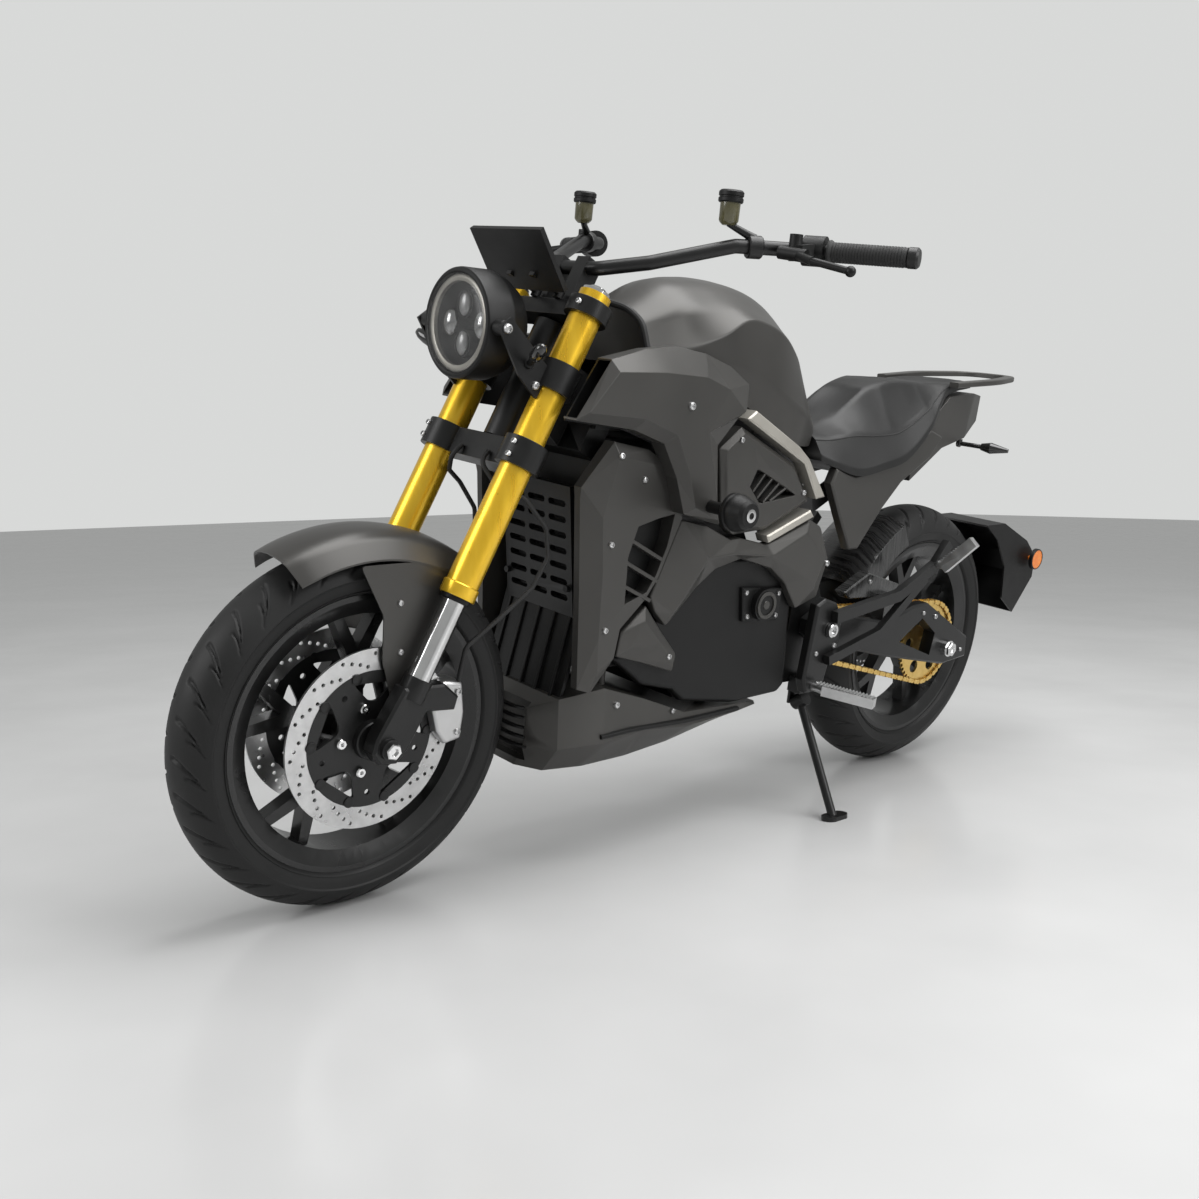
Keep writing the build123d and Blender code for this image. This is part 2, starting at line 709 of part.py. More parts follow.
# Belly pan: deck, flank and keel at each distance back
PAN_STATIONS = (
    (-432, (54, 300), (62, 236), (40, 192)),
    (-402, (112, 330), (120, 240), (84, 190)),
    (-326, (144, 350), (152, 250), (104, 192)),
    (-226, (146, 318), (156, 262), (108, 196)),
    (-114, (144, 276), (152, 250), (106, 206)),
    (40, (140, 270), (144, 256), (100, 230)),
    (106, (128, 264), (132, 258), (92, 252)),
)
with BuildPart() as belly_pan:
    add(lofted(PAN_STATIONS))
    chin = slab(-60, 60, (-470, 214), (-470, 292), (-400, 320), (-400, 200))
    add(chin, mode=Mode.SUBTRACT)
    for y, low, high in ((-280, 322, 372), (0, 262, 292)):
        pair(rod((80, y, low), (80, y, high - RUNNING_GAP), 10))
keep(belly_pan, "belly_pan")

# Frame sliders: bobbins that stand out from the scoops' lower legs
with BuildPart() as frame_sliders:
    with BuildSketch(Plane(origin=(0, *SLIDER_PLACE), x_dir=(1, 0, 0), z_dir=(0, -1, 0))):
        with BuildLine():
            Polyline(
                (CASE_SIDE, 0),
                (CASE_SIDE, SLIDER_STUD),
                (SLIDER_TIP - 48, SLIDER_STUD),
                (SLIDER_TIP - 48, 30),
                (SLIDER_TIP - 32, 33),
                (SLIDER_TIP - 8, 27),
                (SLIDER_TIP, 20),
                (SLIDER_TIP, 0),
                close=True,
            )
        make_face()
    revolve(axis=Axis((0, *SLIDER_PLACE), (1, 0, 0)))
    mirror(about=Plane.YZ)
keep(frame_sliders, "frame_sliders")

# Seat: crown, crease and hem at each distance back
SEAT_STATIONS = (
    (240, (40, 803), (88, 790), (110, 746)),
    (276, (44, 808), (100, 789), (126, 732)),
    (340, (50, 834), (108, 794), (138, 717)),
    (420, (54, 892), (110, 790), (142, 730)),
    (500, (60, 920), (110, 796), (142, 752)),
    (590, (62, 922), (106, 850), (130, 816)),
    (646, (60, 916), (92, 886), (108, 862)),
    (700, (62, 926), (84, 912), (88, 890)),
    (800, (54, 932), (70, 922), (74, 906)),
    (830, (44, 926), (56, 916), (60, 906)),
)
with BuildPart() as seat:
    add(lofted(SEAT_STATIONS))
keep(seat, "seat")

# Tail cowl: side panels that follow the seat's hem, joined by the undertray and the tail block
HEM = [(y, hem[1] - SEAT_GAP) for y, crown, crease, hem in SEAT_STATIONS]
COWL_INNER, COWL_OUTER = 108.0, 130.0
with BuildPart() as tail_cowl:
    flank = slab(
        COWL_INNER,
        COWL_OUTER,
        *HEM[1:6],
        (640, 800),
        (600, 752),
        (507, 700),
        (446, 640),
        (382, 560),
        (352, 560),
        (300, 640),
        (262, 700),
        bevel=4,
    )
    pair(flank)
    tray = lofted(
        (
            (560, (112, 790), (112, 700)),
            (700, (96, 886), (92, 770)),
            (812, (84, 896), (76, 792)),
            (884, (58, 890), (56, 830)),
            (912, (30, 886), (30, 850)),
        )
    )
    add(tray)
keep(tail_cowl, "tail_cowl")

# Subframe: the beam under the seat that carries it and the tail
with BuildPart() as subframe:
    pair(beam((84, 150, 598), (84, 330, 690), 18, 34))
    pair(beam((84, 320, 686), (84, 556, 726), 18, 34))
    add(beam((-90, 272, 664), (90, 272, 664), 28, 28))
    tail_seat, spar_seat = COWL_INNER - RUNNING_GAP, SPAR_INNER - RUNNING_GAP
    add(beam((-tail_seat, 530, 722), (tail_seat, 530, 722), 24, 24))
    add(beam((-spar_seat, 165, 606), (spar_seat, 165, 606), 24, 24))
keep(subframe, "subframe")

# Grab rail: one bent loop round the back of the pillion pad
RAIL_RADIUS, RAIL_Z = 11.0, 936.0
with BuildPart() as grab_rail:
    with BuildLine() as rail_path:
        FilletPolyline(
            (96, 700, RAIL_Z - 26),
            (104, 860, RAIL_Z - 10),
            (62, 1010, RAIL_Z),
            (-62, 1010, RAIL_Z),
            (-104, 860, RAIL_Z - 10),
            (-96, 700, RAIL_Z - 26),
            radius=36,
        )
    with BuildSketch(Plane(origin=rail_path.line @ 0, z_dir=rail_path.line % 0)) as rail_section:
        Circle(RAIL_RADIUS)
    sweep(rail_section.sketch, path=rail_path.line)
keep(grab_rail, "grab_rail")

with BuildPart() as tail_light:
    add(
        lofted(
            (
                (912 + SEAT_GAP, (30, 886), (30, 850)),
                (932, (20, 882), (20, 856)),
            )
        )
    )
keep(tail_light, "tail_light")

# Indicators: a stalk and a pointed lens on each side
def indicator(root, tip, body_length, body_radius):
    """A stalk from root towards tip that ends in a tapered lamp."""
    run = (Vector(*tip) - Vector(*root)).normalized()
    neck = Vector(*tip) - run * body_length
    with BuildPart(mode=Mode.PRIVATE) as lamp:
        stalk = Vector(*root) + Vector(5, 0, 0)
        add(rod(root, tuple(stalk), body_radius * 0.7))
        add(rod(tuple(stalk), tuple(neck + run * 4), body_radius * 0.4))
        rings = []
        for share, swell in ((0.0, 0.6), (0.35, 1.0), (1.0, 0.35)):
            with BuildSketch(Plane(origin=neck + run * body_length * share, z_dir=run)) as section:
                Circle(body_radius * swell)
            rings.append(section.sketch)
        loft(rings, ruled=True)
    return lamp.part


with BuildPart() as rear_indicators:
    pair(indicator((66, 806, 779), (178, 838, 776), 62, 13))
    pair(rod((70, 806, 774), (70, 806, 789), 6))
keep(rear_indicators, "rear_indicators")

# Rear shock: a coil-over between the frame's cross beam and the swingarm's brace
with BuildPart() as rear_shock:
    add(rod((0, 352, 392), (0, 282, 642), SHOCK_EYE))
    add(rod((0, 343, 424), (0, 292, 606), 31))
keep(rear_shock, "rear_shock")


# Guards: the hugger over the front of the rear tyre and the cover over the chain's top run
def arch(axle, start, sweep_angle, *profile):
    """A section given as (half-width, radius) points, turned about an axle between two angles."""
    angle = math.radians(start)
    radial = Vector(0, math.cos(angle), math.sin(angle))
    with BuildPart(mode=Mode.PRIVATE) as shell:
        section = outline(Plane(origin=axle, x_dir=(1, 0, 0), z_dir=Vector(1, 0, 0).cross(radial)), *profile)
        revolve(section, axis=Axis(axle, (1, 0, 0)), revolution_arc=sweep_angle)
    return shell.part


HUGGER_GAP, GUARD_WALL = 14.0, 3.5
with BuildPart() as carbon_guards:
    hug = REAR_RADIUS + HUGGER_GAP
    add(
        arch(
            REAR_AXLE,
            116,
            36,
            (-86, hug - 62),
            (-82, hug - 16),
            (-44, hug),
            (44, hug),
            (82, hug - 16),
            (86, hug - 62),
            (86 + GUARD_WALL, hug - 62),
            (82 + GUARD_WALL, hug - 16 + GUARD_WALL),
            (46, hug + GUARD_WALL),
            (-46, hug + GUARD_WALL),
            (-82 - GUARD_WALL, hug - 16 + GUARD_WALL),
            (-86 - GUARD_WALL, hug - 62),
        )
    )
    chain_cover = (
        (REAR_Y - 366, 462),
        (REAR_Y - 284, 500),
        (REAR_Y - 162, 466),
        (REAR_Y - 190, 440),
        (REAR_Y - 346, 446),
    )
    add(slab(84, 112, *chain_cover, bevel=3))
    front, back = REAR_Y - 260, REAR_Y - 200
    add(slab(-112, -84, (front, 462), (back, 462), (back, 440), (front, 440)))
    front, back = REAR_Y - 250, REAR_Y - 210
    pair(slab(107, ARM_OUTER - 12, (front, 397), (back, 408.4), (back, 452), (front, 452)))
keep(carbon_guards, "carbon_guards")

# Plate carrier: a hollow mudguard behind the rear tyre, on an arm from the right of the swingarm
CARRIER_HALF, CARRIER_WALL = 78.0, 4.0
with BuildPart() as plate_carrier:
    add(
        slab(
            -CARRIER_HALF,
            CARRIER_HALF,
            (REAR_Y + 229, 579),
            (REAR_Y + 312, 581),
            (REAR_Y + 435, 532),
            (REAR_Y + 489, 489),
            (REAR_Y + 492, 434),
            (REAR_Y + 419, 344),
            (REAR_Y + 356, 386),
            (REAR_Y + 344, 470),
            (REAR_Y + 290, 540),
        )
    )
    add(
        slab(
            -CARRIER_HALF + CARRIER_WALL,
            CARRIER_HALF - CARRIER_WALL,
            (REAR_Y + 210, 572),
            (REAR_Y + 311, 576),
            (REAR_Y + 432, 528),
            (REAR_Y + 484, 486),
            (REAR_Y + 487, 436),
            (REAR_Y + 410, 340),
            (REAR_Y + 310, 380),
        ),
        mode=Mode.SUBTRACT,
    )
    arm_x = -ARM_OUTER - 5 - RUNNING_GAP
    add(beam((arm_x, REAR_Y + 40, 310), (arm_x, REAR_Y + 260, 330), 10, 34))
    add(beam((arm_x, REAR_Y + 254, 328), (-CARRIER_HALF + 2, REAR_Y + 380, 420), 10, 34))
keep(plate_carrier, "plate_carrier")

REFLECTOR_PLACE, REFLECTOR_STUD = (REAR_Y + 460, 486.0), 14.0
with BuildPart() as rear_reflector:
    reflector_x = CARRIER_HALF + REFLECTOR_STUD
    with BuildSketch(Plane(origin=(reflector_x, *REFLECTOR_PLACE), z_dir=(1, 0, 0))) as reflector_face:
        Circle(24)
    extrude(reflector_face.sketch, amount=9)
    add(rod((CARRIER_HALF, *REFLECTOR_PLACE), (reflector_x + 1, *REFLECTOR_PLACE), 6))
keep(rear_reflector, "rear_reflector")

# Peg brackets: a triangulated pair of bars on each side that reaches back to the passenger pegs
with BuildPart() as peg_brackets:
    bar_x = BRACKET_OUTER + 9
    pair(beam((bar_x, 262, 436), (bar_x, 480, 466), 16, 24))
    pair(beam((bar_x, 472, 464), (bar_x, 596, 522), 16, 24))
    pair(beam((bar_x, 590, 512), (bar_x, 640, 572), 16, 24))
    pair(beam((bar_x, 254, 346), (bar_x, 424, 388), 16, 20))
    pair(beam((bar_x, 418, 384), (bar_x, 566, 498), 16, 20))
keep(peg_brackets, "peg_brackets")

with BuildPart() as foot_pegs:
    pair(rod((BRACKET_OUTER, 234, 290), (BRACKET_OUTER + 30, 234, 290), 9))
    pair(beam((BRACKET_OUTER + 26, 234, 290), (300, 272, 286), 26, 20))
    pair(rod((bar_x + 8, 604, 528), (bar_x + 24, 604, 528), 9))
    pair(beam((bar_x + 20, 604, 522), (bar_x + 80, 612, 592), 18, 24))
keep(foot_pegs, "foot_pegs")

with BuildPart() as rear_caliper:
    add(beam((-REAR_DISC_OFFSET, REAR_Y - 110, 366), (-REAR_DISC_OFFSET, REAR_Y - 88, 404), 50, 62))
    gap = ring(
        axle_plane(REAR_AXLE, -REAR_DISC_OFFSET - DISC_THICKNESS / 2 - PAD_GAP),
        REAR_DISC_RADIUS + 4,
        0,
        DISC_THICKNESS + 2 * PAD_GAP,
    )
    add(gap, mode=Mode.SUBTRACT)
keep(rear_caliper, "rear_caliper")

# Rear axle: the spindle through the wheel, with its washers outside the arms
with BuildPart() as rear_axle:
    add(rod((-ARM_OUTER - 14, *REAR_AXLE[1:]), (ARM_OUTER + 14, *REAR_AXLE[1:]), AXLE_RADIUS))
    add(ring(axle_plane(REAR_AXLE, ARM_OUTER), 19, 0, 14))
    add(ring(axle_plane(REAR_AXLE, -ARM_OUTER - 14), 19, 0, 14))
keep(rear_axle, "rear_axle")


# Fork legs: upside-down outer tubes, polished sliders and axle feet
def leg(height, radius, length):
    """A round length of both fork legs, from a height up the fork."""
    disc = ring(FORK.offset(height), radius, 0, length)
    at_leg = FORK.x_dir * FORK_SPACING + FORK.y_dir * LEG_BEHIND_AXLE
    return disc.moved(Location(at_leg))


SLIDER_SOCKET = 24.0
with BuildPart() as fork_tubes:
    pair(leg(TUBE_BOTTOM, FORK_TUBE_RADIUS, TUBE_TOP - TUBE_BOTTOM))
    pair(leg(TUBE_BOTTOM, FORK_SLIDER_RADIUS + RUNNING_GAP, SLIDER_SOCKET), mode=Mode.SUBTRACT)
keep(fork_tubes, "fork_tubes")

with BuildPart() as fork_sliders:
    pair(leg(FOOT_TOP, FORK_SLIDER_RADIUS, TUBE_BOTTOM + SLIDER_SOCKET - 1 - FOOT_TOP))
keep(fork_sliders, "fork_sliders")

FOOT_HALF = 15.0
with BuildPart() as fork_feet:
    foot = slab(
        FORK_SPACING - FOOT_HALF,
        FORK_SPACING + FOOT_HALF,
        (-771, 318),
        (-726, 394),
        (-650, 392),
        (-622, 368),
        (-628, 346),
        (-682, 350),
        (-714, 290),
        (-732, 272),
        (-764, 274),
        (-778, 294),
        bevel=4,
    )
    pair(foot)
    pair(leg(FOOT_TOP - 30, FORK_SLIDER_RADIUS + 4, 36))
    pair(leg(FOOT_TOP, FORK_SLIDER_RADIUS + RUNNING_GAP, 40), mode=Mode.SUBTRACT)
    add(rod((-FORK_SPACING - 22, *FRONT_AXLE[1:]), (FORK_SPACING + 22, *FRONT_AXLE[1:]), AXLE_RADIUS))
    pair(ring(axle_plane(FRONT_AXLE, FORK_SPACING + FOOT_HALF), 17, 0, 9))
keep(fork_feet, "fork_feet")


# Triple clamps: two bored bridges joined by the steering stem
def clamp_bridge(height, thickness, reach):
    with BuildPart(mode=Mode.PRIVATE) as bridge:
        with BuildSketch(FORK.offset(height)) as section:
            with Locations((0, (LEG_BEHIND_AXLE + STEM_BEHIND) / 2)):
                Rectangle(2 * FORK_SPACING, reach)
            with Locations((FORK_SPACING, LEG_BEHIND_AXLE), (-FORK_SPACING, LEG_BEHIND_AXLE)):
                Circle(FORK_TUBE_RADIUS + 10)
            with Locations((0, STEM_BEHIND)):
                Circle(HEAD_TUBE_RADIUS + 2)
        extrude(section.sketch, amount=thickness)
    return bridge.part


with BuildPart() as triple_clamps:
    add(clamp_bridge(LOWER_CLAMP, LOWER_CLAMP_HEIGHT, 44))
    add(clamp_bridge(UPPER_CLAMP, UPPER_CLAMP_HEIGHT, 50))
    stem = ring(FORK.offset(LOWER_CLAMP + 4), STEM_RADIUS, 0, UPPER_CLAMP - LOWER_CLAMP)
    add(stem.moved(Location(FORK.y_dir * STEM_BEHIND)))
    tube_bore = leg(LOWER_CLAMP - 1, FORK_TUBE_RADIUS + RUNNING_GAP, UPPER_CLAMP - LOWER_CLAMP + 40)
    pair(tube_bore, mode=Mode.SUBTRACT)
keep(triple_clamps, "triple_clamps")

# Lamp brackets: collars round the fork tubes with a plate reaching forward on each side
LAMP_PLATE_INNER, LAMP_PLATE_OUTER = 107.0, 112.0
LAMP_BOLT = (-578.0, 950.0)
with BuildPart() as lamp_brackets:
    pair(leg(LAMP_COLLAR, FORK_TUBE_RADIUS + 8, LAMP_COLLAR_HEIGHT))
    plate = slab(
        LAMP_PLATE_INNER,
        LAMP_PLATE_OUTER,
        (LAMP_BOLT[0] - 16, LAMP_BOLT[1] + 2),
        (LAMP_BOLT[0] + 6, LAMP_BOLT[1] + 18),
        (-486, 892),
        (-446, 884),
        (-446, 862),
        (-512, 846),
        (-548, 880),
    )
    pair(plate)
    pair(leg(TUBE_BOTTOM, FORK_TUBE_RADIUS + RUNNING_GAP, TUBE_TOP - TUBE_BOTTOM), mode=Mode.SUBTRACT)
keep(lamp_brackets, "lamp_brackets")

# Headlight: a deep round shell with bosses on its sides, and a lens set into its rim
LENS_DEPTH = 12.0
LIGHT_AXIS = Axis((0, HEADLIGHT_CENTRE[0], HEADLIGHT_CENTRE[1]), (0, 1, 0))
light_section = Plane(origin=(0, *HEADLIGHT_CENTRE), x_dir=(0, 1, 0), z_dir=(1, 0, 0))
with BuildPart() as headlight_shell:
    with BuildSketch(light_section):
        with BuildLine():
            rim = Line((LENS_DEPTH, LENS_RADIUS + RUNNING_GAP), (0, LENS_RADIUS + RUNNING_GAP))
            lip = Line(rim @ 1, (0, HEADLIGHT_RADIUS - 3))
            edge = Line(lip @ 1, (6, HEADLIGHT_RADIUS))
            dome = Polyline(
                edge @ 1,
                (48, HEADLIGHT_RADIUS),
                (78, HEADLIGHT_RADIUS - 7),
                (102, HEADLIGHT_RADIUS - 32),
                (112, 22),
                (112, 0),
                (LENS_DEPTH, 0),
            )
            Line(dome @ 1, rim @ 0)
        make_face()
    revolve(axis=LIGHT_AXIS)
    bolt_start = (HEADLIGHT_RADIUS - 8, *LAMP_BOLT)
    pair(rod(bolt_start, (LAMP_PLATE_INNER, *LAMP_BOLT), 10))
keep(headlight_shell, "headlight_shell")

with BuildPart() as headlight_lens:
    with BuildSketch(light_section):
        with BuildLine():
            Polyline(
                (LENS_DEPTH, 0),
                (LENS_DEPTH, LENS_RADIUS),
                (2, LENS_RADIUS),
                (-3, LENS_RADIUS - 24),
                (-5, 14),
                (-5, 0),
                close=True,
            )
        make_face()
    revolve(axis=LIGHT_AXIS)
keep(headlight_lens, "headlight_lens")

with BuildPart() as display:
    add(beam((0, -511, 1106), (0, -450, 1016), 184, 9))
    clamp_top = UPPER_CLAMP + UPPER_CLAMP_HEIGHT
    pair(rod(fork_point(30, -4, clamp_top), fork_point(30, -4, clamp_top + 14), 8))
    pair(beam((30, -474, 1040), (30, -408, 1012), 12, 8))
keep(display, "display")

# Handlebar: a bent tube in two risers
BAR_POINTS = (
    (-424, -14, 1123),
    (-246, -90, 1123),
    (-196, -180, 1118),
    (-120, -300, 1076),
    (-60, -364, 1058),
    (60, -364, 1058),
    (120, -300, 1076),
    (196, -180, 1118),
    (246, -90, 1123),
    (424, -14, 1123),
)
RISER_X, RISER_BEHIND, RISER_HEIGHT = 32.0, 24.0, 86.0
with BuildPart() as handlebar:
    with BuildLine() as bar_path:
        FilletPolyline(*BAR_POINTS, radius=30)
    with BuildSketch(Plane(origin=BAR_POINTS[0], z_dir=bar_path.line % 0)) as bar_section:
        Circle(BAR_RADIUS)
    sweep(bar_section.sketch, path=bar_path.line)
    with BuildSketch(FORK.offset(UPPER_CLAMP + UPPER_CLAMP_HEIGHT + RUNNING_GAP)) as riser:
        with Locations((RISER_X, RISER_BEHIND), (-RISER_X, RISER_BEHIND)):
            Rectangle(30, 34)
    extrude(riser.sketch, amount=RISER_HEIGHT)
keep(handlebar, "handlebar")

GRIP_INNER_END = Vector(*BAR_POINTS[-2])
GRIP_OUTER_END = Vector(*BAR_POINTS[-1])
GRIP_RUN = GRIP_OUTER_END - GRIP_INNER_END


def on_bar(share):
    """A place on the straight outer run of the left half of the bar."""
    return tuple(GRIP_INNER_END + GRIP_RUN * share)


with BuildPart() as grips:
    pair(rod(on_bar(0.32), on_bar(1.0), GRIP_RADIUS))
    pair(rod(on_bar(0.1), on_bar(1.0), BAR_RADIUS + RUNNING_GAP), mode=Mode.SUBTRACT)
    pair(rod(on_bar(1.002), on_bar(1.1), GRIP_RADIUS + 1))
keep(grips, "grips")

LEVER_TIP = Vector(392, -118, 1090)
# The mirror bosses take an M10 screw from above
MIRROR_PLACE, MIRROR_TOP, MIRROR_RADIUS, MIRROR_DEPTH = (268.0, -112.0), 1146.0, 5.0, 18.0
with BuildPart() as bar_controls:
    add(rod(on_bar(0.1), on_bar(0.29), 25))
    master = Vector(*on_bar(0.2)) + Vector(-6, -44, -8)
    add(beam(on_bar(0.2), tuple(master), 34, 26))
    add(rod(tuple(master - Vector(24, 12, 0)), tuple(master + Vector(24, 0, -4)), 11))
    add(rod(tuple(master + Vector(10, -6, -4)), tuple(master + Vector(60, -28, -14)), 7))
    add(rod(tuple(master + Vector(56, -27, -13)), tuple(LEVER_TIP), 6))
    with Locations(LEVER_TIP):
        Sphere(9)
    add(rod((*MIRROR_PLACE, 1110), (*MIRROR_PLACE, MIRROR_TOP), MIRROR_RADIUS + 6))
    add(rod(on_bar(0.05), on_bar(0.4), BAR_RADIUS + RUNNING_GAP), mode=Mode.SUBTRACT)
    mirror_bore = rod((*MIRROR_PLACE, MIRROR_TOP - MIRROR_DEPTH), (*MIRROR_PLACE, MIRROR_TOP + 1), MIRROR_RADIUS)
    add(mirror_bore, mode=Mode.SUBTRACT)
    mirror(about=Plane.YZ)
keep(bar_controls, "bar_controls")

ELBOW, BEND = Vector(*BAR_POINTS[7]), Vector(*BAR_POINTS[8])
RESERVOIR_X, RESERVOIR_Y, RESERVOIR_RISE, RESERVOIR_HEIGHT = 184.0, -190.0, 32.0, 56.0
RESERVOIR_RADIUS, RESERVOIR_CAP = 17.0, 20.0
# The cups stand on stalks, this far above the bar
RESERVOIR_FOOT = ELBOW.Z + RESERVOIR_RISE
RESERVOIR_TOP = RESERVOIR_FOOT + RESERVOIR_HEIGHT
with BuildPart() as reservoirs:
    cup = (RESERVOIR_X, RESERVOIR_Y)
    pair(rod((*cup, RESERVOIR_FOOT), (*cup, RESERVOIR_TOP - RESERVOIR_CAP + 2), RESERVOIR_RADIUS))
    pair(rod((*cup, RESERVOIR_TOP - RESERVOIR_CAP), (*cup, RESERVOIR_TOP), RESERVOIR_RADIUS + 4))
    stalk_end = ELBOW + (BEND - ELBOW) * 0.3 + Vector(0, 0, 14)
    pair(rod((RESERVOIR_X + 2, RESERVOIR_Y, RESERVOIR_FOOT + 4), tuple(stalk_end), 6))
    pair(rod(tuple(ELBOW + (BEND - ELBOW) * 0.2), tuple(ELBOW + (BEND - ELBOW) * 0.44), 19))
    pair(rod(tuple(ELBOW), tuple(BEND), BAR_RADIUS + RUNNING_GAP), mode=Mode.SUBTRACT)
keep(reservoirs, "reservoirs")

with BuildPart() as front_indicators:
    pair(indicator((LAMP_PLATE_OUTER, -530, 898), (179, -556, 934), 48, 13))
keep(front_indicators, "front_indicators")

# Front fender: an arched crown with skirts that reach down to the fork feet
FENDER_GAP, FENDER_WALL, SKIRT_X = 16.0, 3.0, 72.5
with BuildPart() as front_fender:
    crown = FRONT_RADIUS + FENDER_GAP
    add(
        arch(
            FRONT_AXLE,
            56,
            62,
            (-SKIRT_X, crown - 26),
            (-50, crown + 2),
            (0, crown + 14),
            (50, crown + 2),
            (SKIRT_X, crown - 26),
            (SKIRT_X + FENDER_WALL, crown - 24),
            (52, crown + 2 + FENDER_WALL),
            (0, crown + 14 + FENDER_WALL),
            (-52, crown + 2 + FENDER_WALL),
            (-SKIRT_X - FENDER_WALL, crown - 24),
        )
    )
    skirt = slab(
        SKIRT_X,
        SKIRT_X + FENDER_WALL,
        (-790, 582),
        (-744, 500),
        (-742, 430),
        (-722, 350),
        (-706, 350),
        (-600, 540),
        (-590, 556),
        (-680, 584),
    )
    pair(skirt)
    boss_y, boss_z = fork_point(0, LEG_BEHIND_AXLE, FOOT_TOP - 12)[1:]
    boss_end = FORK_SPACING - FORK_SLIDER_RADIUS - 4 - RUNNING_GAP
    pair(rod((SKIRT_X, boss_y, boss_z), (boss_end, boss_y, boss_z), 7))
keep(front_fender, "front_fender")

# Calipers: bodies that straddle the discs, bolted to lugs behind the fork feet
with BuildPart() as calipers:
    body = slab(
        DISC_OFFSET - 22,
        FORK_SPACING - FOOT_HALF,
        (-660, 372),
        (-628, 386),
        (-594, 380),
        (-586, 328),
        (-590, 282),
        (-622, 276),
        (-640, 300),
        bevel=4,
    )
    slit = ring(
        axle_plane(FRONT_AXLE, DISC_OFFSET - DISC_THICKNESS / 2 - PAD_GAP),
        DISC_RADIUS + 4,
        0,
        DISC_THICKNESS + 2 * PAD_GAP,
    )
    pair(body)
    pair(slit, mode=Mode.SUBTRACT)
keep(calipers, "calipers")

# Brake hoses: one from each caliper, back round the fork leg and up to the lower clamp
HOSE_RADIUS, HOSE_BEND = 4.0, 20.0
HOSE_POINTS = (
    (84, -600, 382.1),
    (92, -596, 440),
    (100, -537, 486),
    (102, -476, 532),
    (102, -447, 582),
    (100, -455, 632),
    (92, -497, 680),
    (62, -543, 706),
    (40, -556, 736),
    (36, -537.7, 752.7),
)
with BuildPart() as brake_hoses:
    with BuildLine() as hose_path:
        FilletPolyline(*HOSE_POINTS, radius=HOSE_BEND)
    with BuildSketch(Plane(origin=HOSE_POINTS[0], z_dir=hose_path.line % 0)) as hose_section:
        Circle(HOSE_RADIUS)
    sweep(hose_section.sketch, path=hose_path.line)
    mirror(about=Plane.YZ)
keep(brake_hoses, "brake_hoses")

# Side stand: a leg on its pivot lug, with a flat pad that lies on the ground
STAND_FOOT = (STAND_FOOT_X, STAND_FOOT_Y, (STAND_FOOT_X * LEAN_SIN - LIFT + FOOT_PAD_THICKNESS) / LEAN_COS)
stand_run = Vector(*STAND_FOOT) - Vector(*STAND_PIVOT)
stand_axis = Vector(0, 1, 0).cross(stand_run).normalized() * -1
ground_up = Vector(-LEAN_SIN, 0, LEAN_COS)
with BuildPart() as side_stand:
    add(rod(STAND_PIVOT, STAND_FOOT, STAND_LEG_RADIUS))
    eye_start = Vector(*STAND_PIVOT) - stand_axis * 9
    add(rod(tuple(eye_start), tuple(eye_start + stand_axis * 18), 15))
    with BuildSketch(Plane(origin=STAND_FOOT, x_dir=(0, 1, 0), z_dir=ground_up)) as pad:
        with Locations((6, 0)):
            SlotOverall(64, 34)
    extrude(pad.sketch, amount=-FOOT_PAD_THICKNESS)
    extrude(pad.sketch, amount=3)
keep(side_stand, "side_stand")

with BuildPart() as stand_lug:
    root = Vector(*STAND_PIVOT)
    for side in (-1, 1):
        cheek = root + stand_axis * side * (9 + RUNNING_GAP)
        add(rod(tuple(cheek), tuple(cheek + stand_axis * side * 7), 15))
    lug_inner = SPAR_OUTER + SEAT_GAP
    add(slab(lug_inner, BRACKET_INNER - SEAT_GAP, (222, 268), (258, 268), (258, 300), (222, 300)))
    add(slab(lug_inner, lug_inner + 6, (226, 240), (254, 240), (254, 300), (226, 300)))
keep(stand_lug, "stand_lug")

# The machine leans over onto its stand, and its box is then centred over the origin
leaned = {name: solid.moved(Location((0, 0, LIFT), (0, LEAN, 0))) for name, solid in pieces.items()}
boxes = [solid.bounding_box() for solid in leaned.values()]
LOW_X, HIGH_X = min(box.min.X for box in boxes), max(box.max.X for box in boxes)
LOW_Y, HIGH_Y = min(box.min.Y for box in boxes), max(box.max.Y for box in boxes)
centring = Location((-(LOW_X + HIGH_X) / 2, -(LOW_Y + HIGH_Y) / 2, 0))
for name, solid in leaned.items():
    placed = solid.moved(centring)
    placed.label = name
    export_step(placed, f"parts/{name}.step")
print("length", HIGH_Y - LOW_Y, "width", HIGH_X - LOW_X, "centring", centring.position)
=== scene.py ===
# %% [markdown]
# # Electric naked motorcycle, dressed for its portrait
# The engineering model arrives as a fixed frame: every named solid at its exact place. This
# lesson gives it the finishes and the fine detail of the real machine. Nothing solid is moved.
# A plain solid either gets a better finish or a finer mesh stands in for it.

import bmesh
import bpy
import json
import math
from mathutils import Matrix, Vector
from mathutils.geometry import delaunay_2d_cdt


